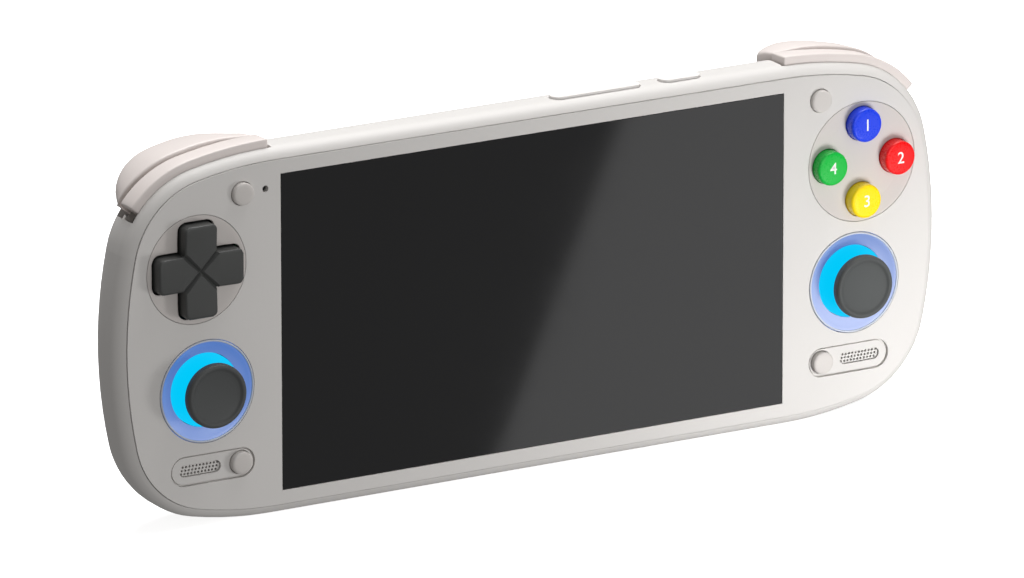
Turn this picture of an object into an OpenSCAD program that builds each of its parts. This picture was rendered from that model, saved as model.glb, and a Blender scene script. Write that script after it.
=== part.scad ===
/* [Case] */
// Depth of the case from face to back
case_t = 15.6; // [15:0.2:17]
// How far the side wall swells past the face
side_swell = 2.3; // [2:0.1:2.6]
// Radius of the rounded corners of the face
corner_r = 19.1; // [18.5:0.12:19.7]
// Length along which the top edge bends down before the corner
top_run = 14.72; // [13.92:0.16:15.52]
// Radius where the side wall meets the face
front_round = 3.5; // [3:0.1:3.8]
// Radius where the side wall meets the back
rear_round = 9.5; // [9:0.1:10]
// Thickness of the back wall
back_wall = 1.8; // [1.6:0.1:2]
// How far the rear shell's inner wall lies inside the face outline
rim_w = 1.0; // [0.9:0.1:1.2]
// Radius inside the rear shell where wall and back meet
inner_round = 4.5; // [4.3:0.1:5]
// Depth of the flat that the console stands on, cut off the lower edge
foot_cut = 0.45; // [0.3:0.05:0.55]
// Thickness of the front shell's face
face_t = 1.3; // [1.2:0.05:1.4]

/* [Screen] */
// Width of the visible screen
screen_w = 121.76; // [119.76:0.5:123.76]
// Height of the visible screen
screen_h = 68.49; // [67.53:0.24:69.45]
// Width of the face on each side of the screen
side_border = 36.62; // [36.12:0.25:37.62]
// Width of the face above and below the screen
top_border = 3.255; // [3.135:0.12:3.495]
// Thickness of the cover glass
glass_t = 0.9; // [0.7:0.1:1]
// Thickness of the display panel behind the glass
panel_t = 2.0; // [1.8:0.1:2.1]
// Thickness of the metal frame behind the display
frame_t = 0.8; // [0.6:0.1:1]

/* [Direction pad] */
// Distance of the direction pad from the side of the face
pad_side = 16.5; // [16:0.25:17]
// Height of the direction pad and face buttons above the screen's middle
pad_y = 16.6; // [16:0.2:17.4]
// Diameter of the round plate round the direction pad
pad_plate_d = 23.3; // [23:0.1:24]
// Reach of each arm of the direction pad
pad_arm = 10; // [9.5:0.1:10.2]
// Width of each arm of the direction pad
pad_arm_w = 7.6; // [7:0.1:8]
// How far the direction pad stands out of the face
pad_out = 2.5; // [2.2:0.1:2.8]
// How much lower the middle of the direction pad is than its arms' ends
pad_dip = 0.5; // [0.4:0.05:0.6]

/* [Face buttons] */
// Distance of the face-button cluster from the side of the face
cluster_side = 17.1; // [16.6:0.25:17.6]
// Diameter of the round plate round the face buttons
cluster_plate_d = 26.3; // [26:0.1:26.8]
// Distance of each face button from the middle of the cluster
cluster_reach = 8.4; // [8.2:0.1:8.6]
// Diameter of a face button
button_d = 7.4; // [7:0.1:7.6]
// How far a face button stands out of the face
button_out = 2.4; // [2.2:0.1:2.8]
// Travel of a face button
button_travel = 0.9; // [0.7:0.1:1]

/* [Small buttons] */
// Distance of the two upper small buttons from the side
select_side = 27.4; // [27.1:0.1:27.7]
// Height of the two upper small buttons
select_y = 31.4; // [31.2:0.1:31.5]
// Distance of the two lower small buttons from the side
home_side = 26.7; // [26.5:0.1:26.9]
// Height of the two lower small buttons, below the middle
home_y = -26.7; // [-26.9:0.1:-26.5]
// Diameter of a small button
small_d = 4.9; // [4.7:0.1:5.2]
// How far a small button stands out of the face
small_out = 0.8; // [0.7:0.1:1.1]
// Travel of a small button
small_travel = 0.5; // [0.4:0.05:0.55]

/* [Thumb sticks] */
// Distance of each stick from the side of the face
stick_side = 18.8; // [18.5:0.25:19.3]
// Height of each stick, below the middle
stick_y = -10; // [-10.2:0.2:-9.6]
// Diameter of the light ring
ring_d = 22.2; // [22:0.1:22.4]
// Diameter of the lit disc at the bottom of the ring
glow_d = 16; // [15.6:0.2:16.2]
// Depth of the lit disc below the face
glow_depth = 1.2; // [1.1:0.1:1.4]
// Diameter of the thumb cap
cap_d = 13.2; // [13:0.1:13.4]
// How far the thumb cap stands out of the face
cap_out = 4.9; // [4.7:0.1:5.1]
// Thickness of the thumb cap at its edge
cap_t = 2.1; // [2:0.1:2.2]
// Depth of the tilt axes below the face
stick_pivot = 4.8; // [4.7:0.1:4.9]
// Width of the stick housing
housing_w = 15; // [14.8:0.1:15.4]

/* [Shoulders] */
// Distance from the side to the inner end of a bumper
bumper_side = 35.1; // [34.9:0.1:35.2]
// Depth behind the face where the bumper starts
bumper_front = 2.5; // [2.4:0.1:2.6]
// Depth behind the face where the bumper ends
bumper_back = 8; // [7.8:0.1:8.1]
// How far the bumper's top lies outside the face outline
bumper_out = 3.5; // [3.3:0.1:3.7]
// Angle round the corner where the bumper ends
bumper_end = 38; // [37:0.5:39]
// Angle round the corner where the shoulder opening ends
bay_end = 31.6; // [31:0.2:32]
// Depth behind the face that the trigger reaches
trigger_back = 20; // [19.6:0.1:20.4]
// How far the trigger's dome rises outside the face outline
trigger_out = 4.4; // [4.2:0.1:4.6]
// Radius of the trigger's dome, across it
trigger_crown = 16; // [15:0.5:18]
// Radius of the trigger's curved rear edge, seen from above
trigger_sweep_r = 17.2; // [16.8:0.1:17.3]
// Angle round the corner where the trigger ends
trigger_end = 41; // [41:0.5:43]

/* [Top edge buttons] */
// Where the volume rocker starts, right of the middle
volume_x = 6.5; // [5:0.5:8]
// Length of the volume rocker
volume_l = 21.5; // [20:0.5:22]
// Where the power button starts, right of the middle
power_x = 33; // [32:0.5:34]
// Length of the power button
power_l = 9.7; // [9:0.1:10.5]
// Width of both top buttons, across the edge
edge_button_w = 3.6; // [3.4:0.1:3.7]
// Depth of both top buttons behind the face
edge_button_depth = 4.7; // [4.6:0.1:4.8]
// How far both top buttons stand out of the edge
edge_button_out = 0.5; // [0.4:0.1:0.7]

/* [Speakers] */
// Length of the shallow recess for speaker holes and button
recess_l = 19.9; // [19.5:0.1:20.2]
// Height of the recess
recess_h = 6.5; // [6.3:0.1:6.7]
// Distance of the recess from the side
recess_side = 20.05; // [19.8:0.05:20.3]
// Diameter of a speaker hole
speaker_hole_d = 0.5; // [0.4:0.05:0.55]
// Columns of speaker holes
speaker_columns = 11; // [9:1:12]

/* [Fits] */
// Hairline gap between parts of the case
seam = 0.1; // [0.08:0.01:0.15]
// Gap round a part that moves
play = 0.15; // [0.12:0.01:0.18]
// Radial gap of a pin in its hole
pin_play = 0.05; // [0.03:0.01:0.08]

/* [Hidden] */
$fn = 64;

// Colours
grey = [0.82, 0.81, 0.80];
light_grey = [0.90, 0.88, 0.87];
dark = [0.22, 0.23, 0.22];
black = [0.05, 0.05, 0.05];
steel = [0.72, 0.72, 0.73];
board_green = [0.05, 0.30, 0.16];
rubber_grey = [0.55, 0.55, 0.55];

// The face outline: a side arc, a corner arc and a top arc, each tangent to the next
half_w = screen_w / 2 + side_border;
half_h = screen_h / 2 + top_border;
top_drop = 1.6;
side_drop = 1.8;
corner_x = half_w - corner_r - side_drop;
corner_y = half_h - corner_r - top_drop;
side_reach = (corner_y * corner_y / side_drop + side_drop) / 2;
side_r = corner_r + side_reach;
side_x = half_w - side_r;
top_reach = (top_run * top_run / top_drop + top_drop) / 2;
top_r = corner_r + top_reach;
top_x = corner_x - top_run;
top_y = half_h - top_r;

// Distances from the middle of the face
screen_edge = screen_w / 2;
pad_x = half_w - pad_side;
cluster_x = half_w - cluster_side;
select_x = half_w - select_side;
home_x = half_w - home_side;
stick_x = half_w - stick_side;
bumper_x = half_w - bumper_side;
recess_x = half_w - recess_side;
mic_x = screen_edge + 3.72;
mic_y = select_y + 0.2;
mic_hole_d = 1.4;
post_x = screen_edge + 6.32;

// Where the lines between two arcs end, well outside the case
side_joint = [side_x + 1.4 * (corner_x - side_x), 1.4 * corner_y];
top_joint = [top_x + 1.5 * top_run, top_y + 1.5 * (corner_y - top_y)];
core = 30;

// The console stands on its lower edge, with its origin under the middle of its box
centre_z = half_h + side_swell - foot_cut;
face_y = (cap_out - trigger_back) / 2;

// Depths behind the face
panel_front = glass_t + 0.05;
frame_front = panel_front + panel_t + 0.05;
frame_back = frame_front + frame_t;
window_gap = 0.12;
window_w = screen_w + 2 * window_gap;
window_h = screen_h + 2 * window_gap;
cavity_t = case_t - back_wall;

// Boards
board_t = 1;
side_board_front = 5.8;
main_board_front = 7.2;
main_right = screen_edge + 0.12;
main_left = main_right - 77;
main_top = half_h - 4.5;
main_bottom = 2 - half_h;
chip_x = 22;
chip_y = 8;
side_board_x = screen_edge + 3.72;
side_board_y = half_h - 5.7;

// Plates round the pad and the face buttons
plate_t = 0.8;
plate_ledge = 0.45;

// Shoulder hinges
bumper_pin_x = bumper_x + 2.2;
bumper_pin_y = half_h - 3.1;
trigger_pin_y = half_h - 2.9;
trigger_pin_depth = 10.2;
pin_r = 0.8;
lug_r = 1.6;
bay_floor = -3.2;
bumper_in = -0.9;
trigger_in = -1.8;
trigger_wall = 1.6;
trigger_gap = 0.35;
trigger_front = bumper_back + 1.4;
trigger_crest = 12;
trigger_lip_end = 62;
trigger_centre_x = bumper_x + 16;
trigger_lug_x = [bumper_x + 5.2, bumper_x + 9.8];
trigger_lug_w = 2;

// Behind the bumper the shoulder opening ends higher round the corner, under the trigger's outer end
wall_lip_end = 38.6;
wall_lip_front = 11;
wall_lip_back = 12.6;
rear_bay_end = 36;

// Screw places: each is mirrored to the other side
screw_spots = [[screen_edge + 5.12, 1.5], [half_w - 7, 3.5], [screen_edge + 3.92, -28.4]];
screw_r = 0.95;
screw_seat = 13;
boss_end = 12;

// Ports in the lower edge
usb_x = 0;
card_x = 22;
jack_x = 44;
port_depth = 5.6;
jack_depth = 6.6;
jack_r = 1.8;

// Stands the console up: the face looks towards the viewer and its height runs up
module stand() translate([0, face_y, centre_z]) rotate([90, 0, 0]) children();

module both_sides() {
  children();
  mirror([1, 0, 0]) children();
}

module at_depth(from, to) translate([0, 0, -to]) linear_extrude(to - from) children();

module stadium(l, w) {
  square([l - w, w], center = true);
  for (side = [-1, 1]) translate([side * (l - w) / 2, 0]) circle(d = w);
}

// A section drawn as distance from the face outline against height above the face,
// turned about one arc of the outline and cut to that arc's own wedge
module arc_sweep(centre, r, start, turn, wedge) intersection() {
  translate([centre[0], centre[1], 0]) rotate_extrude(angle = turn, start = start) intersection() {
    translate([r, 0]) children();
    translate([0, -50]) square([200, 100]);
  }
  translate([0, 0, -45]) linear_extrude(60) polygon(wedge);
}

module side_arc() arc_sweep([side_x, 0], side_r, -5, 30,
  [[side_x, 0], side_joint, [side_joint[0] + 10, 0]]) children();

module corner_arc(start) arc_sweep([corner_x, corner_y], corner_r, start, 95 - start,
  [[corner_x, corner_y], side_joint, [120, 60], top_joint]) children();

module top_arc() arc_sweep([top_x, top_y], top_r, 70, 25,
  [[top_x, top_y], top_joint, [top_x, top_joint[1]]]) children();

module straight_sweep(from, to, y) {
  translate([from, 0, 0]) rotate([90, 0, 90]) linear_extrude(to - from) translate([y, 0]) children();
}

// The section swept all round the case, a quarter at a time, with its middle filled between two depths
module case_sweep(from, to) {
  both_sides() for (upright = [0, 1]) mirror([0, upright, 0]) {
    straight_sweep(0, top_x, half_h) children();
    top_arc() children();
    corner_arc(5) children();
    side_arc() children();
  }
  at_depth(from, to) {
    square([2 * corner_x + 2, 2 * corner_y + 2], center = true);
    square([2 * top_x - 2, 2 * (half_h - core) + 4], center = true);
  }
}

// A rectangular section with its two outer corners rounded
module rounded_section(out, from, to, front_r, rear_r) {
  difference() {
    translate([-core, -to]) square([core + out, to - from]);
    if (front_r > 0) difference() {
      translate([out - front_r, -from - front_r]) square([front_r + 1, front_r + 1]);
      translate([out - front_r, -from - front_r]) circle(front_r);
    }
    if (rear_r > 0) difference() {
      translate([out - rear_r, -to - 1]) square([rear_r + 1, rear_r + 1]);
      translate([out - rear_r, -to + rear_r]) circle(rear_r);
    }
  }
}

module case_body() case_sweep(0, case_t) rounded_section(side_swell, 0, case_t, front_round, rear_round);

module case_cavity()
  case_sweep(-1, cavity_t) rounded_section(-rim_w, -1, cavity_t, 0, inner_round);

module face_recess() case_sweep(-1, face_t) rounded_section(0, -1, face_t, 0, 0);

module face_plate() case_sweep(0, face_t) rounded_section(-seam, 0, face_t, 0, 0);

// A section swept along the right shoulder, from the inner end round the corner
module shoulder_sweep(end) {
  top_arc() children();
  corner_arc(end) children();
}

module shoulder_bay() {
  shoulder_sweep(bay_end) bay_section(bumper_front - seam, wall_lip_front);
  shoulder_sweep(wall_lip_end) bay_section(5, wall_lip_back + 1);
  shoulder_sweep(rear_bay_end) bay_section(wall_lip_back, case_t + 1);
}

module bay_section(from, to) translate([bay_floor, -to]) square([12, to - from]);

module hinge_pocket() translate([trigger_lug_x[0] - 0.6, half_h - 6.3, -cavity_t])
  cube([trigger_lug_x[1] + trigger_lug_w - trigger_lug_x[0] + 1.2, 6.3, cavity_t - 8.4]);

module screw_places() both_sides() for (spot = screw_spots) translate([spot[0], spot[1], 0]) children();

module front_bosses() screw_places() difference() {
  at_depth(face_t, boss_end) circle(r = 2.1);
  at_depth(6, boss_end + 1) circle(r = screw_r + pin_play);
}

module window_rim() at_depth(face_t, frame_front) difference() {
  square([window_w + 2.4, window_h + 1.6], center = true);
  square([window_w, window_h], center = true);
}

// Rounded strip of speaker holes, at the outer end of the recess
grille_x = recess_x + 2.9;
grille_l = speaker_columns * 0.82 + 0.8;
grille_h = 2.6;

module recess_places() both_sides() translate([recess_x, home_y, 0]) children();

module front_shell() color(grey) stand() difference() {
  union() {
    face_plate();
    front_bosses();
    window_rim();
    both_sides() for (y = [-31.5, -19, 4.8]) translate([post_x, y, 0])
      at_depth(face_t, side_board_front) circle(r = 1.2);
  }
  at_depth(-1, frame_front + 1) square([window_w, window_h], center = true);
  plate_hole(-pad_x, pad_plate_d);
  plate_hole(cluster_x, cluster_plate_d);
  both_sides() translate([stick_x, stick_y, 0]) at_depth(-1, face_t + 1) circle(d = ring_d + 2 * seam);
  both_sides() translate([select_x, select_y, 0]) at_depth(-1, face_t + 1) circle(d = small_d + 2 * play);
  both_sides() translate([home_x, home_y, 0]) at_depth(-1, face_t + 1) circle(d = small_d + 2 * play);
  recess_places() at_depth(-1, recess_depth) stadium(recess_l, recess_h);
  recess_places() at_depth(recess_depth - 0.1, recess_groove) difference() {
    stadium(recess_l, recess_h);
    stadium(recess_l - 0.7, recess_h - 0.7);
  }
  both_sides() translate([grille_x, home_y, 0]) at_depth(-1, face_t + 1) stadium(grille_l, grille_h);
  translate([-mic_x, mic_y, 0]) at_depth(-1, face_t + 1) circle(d = mic_hole_d);
}

recess_depth = 0.3;
recess_groove = 0.75;

module plate_hole(x, d) translate([x, pad_y, 0]) {
  at_depth(-1, plate_t) circle(d = d + 2 * seam);
  at_depth(-1, face_t + 1) circle(d = d - 2 * plate_ledge);
}

// Walls that close the shoulder opening off from the inside of the case
module bay_wall() {
  difference() {
    union() {
      shoulder_sweep(bay_end - 3) translate([bay_floor - 1, -cavity_t]) square([1, cavity_t - face_t]);
      corner_arc(bay_end - 3) translate([bay_floor - 1, -cavity_t]) square([3, cavity_t - face_t]);
    }
    translate([50, 20, -case_t]) cube([corner_x - 50.2, half_h - 7.5, case_t + 1]);
  }
  translate([top_x - 1, half_h + bay_floor - 1, -cavity_t]) cube([1.2, 3, cavity_t - frame_back - 0.2]);
}

module bay_divider() translate([corner_x, corner_y, 0]) rotate_extrude(angle = 3, start = bay_end - 0.5)
  translate([corner_r + bay_floor - 0.5, -bumper_back]) square([5, 0.8]);

module rear_shell() color(light_grey) stand() {
  difference() {
    union() {
      difference() {
        case_body();
        case_cavity();
        face_recess();
      }
      screw_places() at_depth(boss_end + 0.05, cavity_t) circle(r = 3.2);
      both_sides() bay_wall();
    }
    both_sides() shoulder_bay();
    both_sides() hinge_pocket();
    edge_slot(volume_x, volume_l);
    edge_slot(power_x, power_l);
    translate([-half_w, -half_h - side_swell - 5, -case_t]) cube([2 * half_w, 5 + foot_cut, case_t]);
    port_openings();
    screw_places() {
      at_depth(screw_seat, case_t + 1) circle(r = 2);
      at_depth(boss_end - 1, case_t + 1) circle(r = screw_r + 0.15);
    }
    vents();
  }
  both_sides() bay_divider();
}

module edge_slot(x, l) translate([x + l / 2, half_h - 4, -edge_button_depth]) rotate([-90, 0, 0])
  linear_extrude(10) stadium(l + 2 * play, edge_button_w + 2 * play);

vent_count = 9;
vent_pitch = 5;

module vents() for (i = [0 : vent_count - 1])
  translate([(i - (vent_count - 1) / 2) * vent_pitch + chip_x, chip_y + 4, 0]) rotate([0, 0, 90])
    at_depth(cavity_t - 1, case_t + 1) stadium(18, 1.8);

module port_openings() {
  bottom_hole(usb_x, port_depth) stadium(9.4, 3.6);
  bottom_hole(card_x, port_depth) stadium(12.6, 1.8);
  bottom_hole(jack_x, jack_depth) circle(r = 2.8);
}

module bottom_hole(x, depth) translate([x, -half_h - side_swell - 1, -depth]) rotate([-90, 0, 0])
  linear_extrude(8) children();

module screen_glass() color(black) stand() at_depth(0, glass_t) square([screen_w, screen_h], center = true);

module display_panel() color(dark) stand()
  at_depth(panel_front, panel_front + panel_t) square([screen_w - 0.4, screen_h - 0.4], center = true);

module mid_frame() color(steel) stand() {
  at_depth(frame_front, frame_back) square([window_w + 2.4, window_h + 1.2], center = true);
  standoff_places() difference() {
    at_depth(frame_back, main_board_front) circle(r = 2);
    at_depth(frame_back + 0.5, main_board_front + 1) circle(r = 0.8);
  }
}

module standoff_places()
  for (x = [main_left + 4, main_right - 4], y = [main_top - 4, main_bottom + 12]) translate([x, y, 0]) children();

module main_board() color(board_green) stand() difference() {
  union() {
    at_depth(main_board_front, main_board_front + board_t)
      translate([main_left, main_bottom]) square([main_right - main_left, main_top - main_bottom]);
    at_depth(main_board_front + board_t, main_board_front + board_t + 1.2)
      translate([chip_x, chip_y]) square([15, 15], center = true);
    for (side = [-16, 16]) at_depth(main_board_front + board_t, main_board_front + board_t + 1.1)
      translate([chip_x + side, chip_y]) square([8, 12], center = true);
  }
  standoff_places() at_depth(main_board_front - 1, main_board_front + 3) circle(r = 0.9);
  at_depth(main_board_front - 1, main_board_front + 3)
    translate([jack_x, main_bottom]) square([jack_body_w + 0.4, 2 * jack_body_l - 2], center = true);
}

module heat_spreader() color(steel) stand() {
  at_depth(main_board_front + board_t + 1.2, main_board_front + board_t + 2)
    translate([chip_x, chip_y]) square([44, 30], center = true);
  for (i = [-5 : 5]) at_depth(main_board_front + board_t + 2, cavity_t - 0.8)
    translate([chip_x + i * 4, chip_y]) square([0.8, 28], center = true);
}

module battery() color([0.2, 0.2, 0.24]) stand()
  at_depth(frame_back, frame_back + 5.4) translate([main_left - 24, -3]) square([42, 60], center = true);

// Board behind the right-hand controls, mirrored for the left
module board_shape() at_depth(side_board_front, side_board_front + board_t) difference() {
  polygon([
    [side_board_x, side_board_y - 0.6], [half_w - 22.5, side_board_y - 0.6], [half_w - 11.5, side_board_y - 5.8],
    [half_w - 7.5, side_board_y - 13.8], [half_w - 6, 8], [half_w - 6, -12], [half_w - 9.5, 7.8 - side_board_y],
    [half_w - 17.5, -side_board_y], [side_board_x, -side_board_y]
  ]);
  translate([stick_x, stick_y]) square([housing_w + 0.6, housing_w + 0.6], center = true);
  for (spot = screw_spots) translate(spot) circle(r = 2.4);
}

module left_button_board() color(board_green) stand() mirror([1, 0, 0]) board_shape();
module right_button_board() color(board_green) stand() board_shape();

// Direction pad
module pad_bars(reach, w) for (turn = [0, 90]) rotate([0, 0, turn]) square([2 * reach, w], center = true);

module pad_outline(grow) intersection() {
  circle(r = pad_arm + grow);
  pad_bars(pad_arm + 1, pad_arm_w + 2 * grow);
}

pad_gap = 0.3;
pad_flange_top = plate_t + 1.3;
pad_flange_bottom = pad_flange_top + 1.2;
pad_pivot_depth = pad_flange_top + 0.4;

module pad_plate() color(grey) stand() translate([-pad_x, pad_y, 0]) difference() {
  at_depth(0, plate_t) circle(d = pad_plate_d);
  at_depth(-1, plate_t + 1) pad_outline(pad_gap);
  plate_dish(pad_plate_d);
}

// The plates dip a little inside a narrow flat rim
dish_depth = 0.3;
dish_rim = 0.5;
dish_slope = 3;

module plate_dish(d) translate([0, 0, -dish_depth])
  cylinder(r1 = d / 2 - dish_rim - dish_slope, r2 = d / 2 - dish_rim + dish_slope, h = 2 * dish_depth);

// One arm's bevelled bar, along x
module bevel_bar() rotate([90, 0, 90]) translate([0, 0, -pad_arm - 1]) linear_extrude(2 * pad_arm + 2)
  polygon([
    [-pad_arm_w / 2, -pad_flange_top], [pad_arm_w / 2, -pad_flange_top], [pad_arm_w / 2, pad_out - 1.6],
    [pad_arm_w / 2 - 0.35, pad_out - 0.5], [pad_arm_w / 2 - 0.9, pad_out],
    [0.9 - pad_arm_w / 2, pad_out], [0.35 - pad_arm_w / 2, pad_out - 0.5], [-pad_arm_w / 2, pad_out - 1.6]
  ]);

// What is cut off one arm's top so that it slopes down to the middle
module pad_slope() intersection() {
  rotate([90, 0, 0]) translate([0, 0, -pad_arm_w]) linear_extrude(2 * pad_arm_w)
    polygon([[0, pad_out - pad_dip], [pad_arm - 1, pad_out], [pad_arm - 1, pad_out + 1], [0, pad_out + 1]]);
  linear_extrude(pad_out + 2) polygon([[0, 0], [pad_arm, -pad_arm], [pad_arm, pad_arm]]);
}

module pad_cap() color(dark) stand() translate([-pad_x, pad_y, 0]) difference() {
  union() {
    intersection() {
      union() for (turn = [0, 90]) rotate([0, 0, turn]) bevel_bar();
      rotate_extrude() polygon([
        [0, -pad_flange_top], [pad_arm, -pad_flange_top], [pad_arm, pad_out - 1.6],
        [pad_arm - 0.35, pad_out - 0.5], [pad_arm - 0.9, pad_out], [0, pad_out]
      ]);
    }
    at_depth(pad_flange_top, pad_flange_bottom) circle(r = pad_arm + 0.4);
    for (turn = [0 : 90 : 270]) rotate([0, 0, turn]) translate([7, 0, 0])
      at_depth(pad_flange_bottom, pad_flange_bottom + 0.4) circle(r = 1.2);
  }
  for (turn = [45, 135]) rotate([90, 0, turn]) translate([0, 0, -pad_arm]) linear_extrude(2 * pad_arm)
    polygon([[-0.7, pad_out + 0.01], [0, pad_out - 0.9], [0.7, pad_out + 0.01]]);
  for (turn = [0 : 90 : 270]) rotate([0, 0, turn]) pad_slope();
  at_depth(pad_pivot_depth - 1.2, pad_flange_bottom + 2) circle(r = 2.6);
  for (side = [-1, 1]) translate([side * 2.5, 0, -pad_pivot_depth]) rotate([0, 90, 0])
    cylinder(r = 0.5 + pin_play, h = 2.4, center = true);
}

// The pad rocks on a small ring: the ring's side pins carry the pad and a post's pin carries the ring
ring_r = 1.9;
post_r = 0.95;
post_pin_r = 0.4;

module pad_pivot() color(steel) stand() translate([-pad_x, pad_y, -pad_pivot_depth]) difference() {
  union() {
    cylinder(r = ring_r, h = 1.2, center = true);
    rotate([0, 90, 0]) cylinder(r = 0.5, h = 7, center = true);
  }
  cylinder(r = post_r + 0.3, h = 2, center = true);
  rotate([90, 0, 0]) cylinder(r = post_pin_r + pin_play, h = 5, center = true);
}

module pad_post() color(dark) stand() translate([-pad_x, pad_y, -pad_pivot_depth]) {
  translate([0, 0, pad_pivot_depth - side_board_front]) cylinder(r = post_r, h = side_board_front - pad_pivot_depth + 0.6);
  translate([0, 0, pad_pivot_depth - side_board_front]) cylinder(r = 1.8, h = 0.8);
  rotate([90, 0, 0]) cylinder(r = post_pin_r, h = 2 * ring_r - 0.2, center = true);
}

module pad_mat() color(rubber_grey) stand() translate([-pad_x, pad_y, 0]) {
  difference() {
    at_depth(side_board_front - 0.6, side_board_front) circle(r = pad_arm + 0.4);
    at_depth(0, side_board_front + 1) circle(r = 2);
  }
  for (turn = [0 : 90 : 270]) rotate([0, 0, turn]) translate([7, 0, -side_board_front + 0.6])
    cylinder(r1 = 2.4, r2 = 1.6, h = 0.9);
}

// Face buttons
module cluster_plate() color(grey) stand() translate([cluster_x, pad_y, 0]) difference() {
  at_depth(0, plate_t) circle(d = cluster_plate_d);
  for (turn = [0 : 90 : 270]) rotate([0, 0, turn]) translate([cluster_reach, 0, 0])
    at_depth(-1, plate_t + 1) circle(d = button_d + 2 * play);
  plate_dish(cluster_plate_d);
}

button_flange = 0.45;
button_flange_t = 0.8;
button_stem = 3.2;

module face_button(turn, shade) color(shade) stand() translate([cluster_x, pad_y, 0])
  rotate([0, 0, turn]) translate([cluster_reach, 0, 0]) rotate_extrude() difference() {
    polygon([
      [0, -button_stem], [2.2, -button_stem], [2.2, -plate_t - 0.1 - button_flange_t],
      [button_d / 2 + button_flange, -plate_t - 0.1 - button_flange_t],
      [button_d / 2 + button_flange, -plate_t - 0.1],
      [button_d / 2, -plate_t - 0.1], [button_d / 2, button_out], [0, button_out]
    ]);
    translate([button_d / 2 - 0.6, button_out - 0.6]) difference() {
      square([1, 1]);
      circle(r = 0.6);
    }
  }

module upper_button() face_button(90, [0.20, 0.33, 0.93]);
module right_button() face_button(0, [0.96, 0.16, 0.16]);
module left_button() face_button(180, [0.16, 0.78, 0.30]);
module lower_button() face_button(270, [0.98, 0.88, 0.16]);

module cluster_mat() color(rubber_grey) stand() translate([cluster_x, pad_y, 0]) {
  at_depth(side_board_front - 0.6, side_board_front) circle(r = 11.4);
  for (turn = [0 : 90 : 270]) rotate([0, 0, turn]) translate([cluster_reach, 0, -side_board_front + 0.6])
    cylinder(r1 = 2.6, r2 = 1.8, h = 5.2 - button_stem - button_travel - 0.1);
}

// Small round buttons: a domed cap over a stem with a flange
module small_button(x, y) color(grey) stand() translate([x, y, 0]) rotate_extrude() difference() {
  polygon([
    [0, -3.2], [1.2, -3.2], [1.2, -face_t - 0.9], [small_d / 2 + 0.5, -face_t - 0.9],
    [small_d / 2 + 0.5, -face_t - 0.1], [small_d / 2, -face_t - 0.1], [small_d / 2, small_out], [0, small_out]
  ]);
  translate([small_d / 2 - 0.5, small_out - 0.5]) difference() {
    square([1, 1]);
    circle(r = 0.5);
  }
}

module select_button() small_button(-select_x, select_y);
module start_button() small_button(select_x, select_y);
module home_button() small_button(-home_x, home_y);
module back_button() small_button(home_x, home_y);

module tact_switches() color(black) stand() both_sides() {
  for (spot = [[select_x, select_y - 1.2], [home_x, home_y]]) translate([spot[0], spot[1], 0]) {
    at_depth(4.4, side_board_front) square([4, 4], center = true);
    at_depth(3.2 + small_travel + 0.1, 4.4) circle(r = 1);
  }
}

// Thumb sticks
module stick_place(side) translate([side * stick_x, stick_y, 0]) children();

housing_front = 3.1;
housing_back = 10;

module stick_housing(side) color(dark) stand() stick_place(side) difference() {
  union() {
    at_depth(housing_front, housing_back) square([housing_w, housing_w], center = true);
    at_depth(side_board_front - 1, side_board_front) square([housing_w + 3, housing_w - 6], center = true);
  }
  at_depth(housing_front - 1, housing_back - 1) square([housing_w - 2.4, housing_w - 2.4], center = true);
  for (end = [-1, 1]) translate([end * (housing_w / 2 - 0.6), 0, -stick_pivot]) rotate([0, 90, 0])
    cylinder(r = yoke_pin_r + pin_play, h = 3, center = true);
}

// The yoke turns up and down on two pins in the housing, and carries the rocker
yoke_pin_r = 0.9;
rocker_pin_r = 0.6;
yoke_h = 6.8;
yoke_t = 2;
rocker_r = 2.2;

module stick_yoke(side) color(steel) stand() stick_place(side) translate([0, 0, -stick_pivot]) difference() {
  union() {
    cube([11.4, yoke_h, yoke_t], center = true);
    rotate([0, 90, 0]) cylinder(r = yoke_pin_r, h = housing_w - 0.6, center = true);
  }
  cube([8.4, 2 * rocker_r + 0.6, 4], center = true);
  rotate([90, 0, 0]) cylinder(r = rocker_pin_r + pin_play, h = 12, center = true);
}

// The rocker turns left and right on its pins in the yoke, and guides the stick's shaft
module stick_rocker(side) color(dark) stand() stick_place(side) translate([0, 0, -stick_pivot]) difference() {
  union() {
    cylinder(r = rocker_r, h = yoke_t, center = true);
    rotate([90, 0, 0]) cylinder(r = rocker_pin_r, h = yoke_h - 0.2, center = true);
  }
  cylinder(r = shaft_r + pin_play, h = 6, center = true);
}

shaft_r = 1.3;
shaft_end = 2.6;

module stick_cap(side) color(dark) stand() stick_place(side) rotate_extrude() difference() {
  polygon([
    [0, -stick_pivot - shaft_end], [shaft_r, -stick_pivot - shaft_end], [shaft_r, 0.6], [2.4, 1.4],
    [3.6, cap_out - cap_t - 0.2], [cap_d / 2 - 0.8, cap_out - cap_t], [cap_d / 2, cap_out - cap_t + 0.6],
    [cap_d / 2, cap_out - 0.7], [cap_d / 2 - 0.3, cap_out - 0.15], [cap_d / 2 - 0.7, cap_out],
    [cap_d / 2 - 1.0, cap_out - 0.1], [cap_d / 2 - 1.3, cap_out - 0.5], [0, cap_out - 0.5]
  ]);
  translate([0, cap_out - 0.5 + 25]) circle(r = 25.2, $fn = 128);
}

module left_stick_housing() stick_housing(-1);
module right_stick_housing() stick_housing(1);
module left_stick_yoke() stick_yoke(-1);
module right_stick_yoke() stick_yoke(1);
module left_stick_rocker() stick_rocker(-1);
module right_stick_rocker() stick_rocker(1);
module left_stick_cap() stick_cap(-1);
module right_stick_cap() stick_cap(1);

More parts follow.
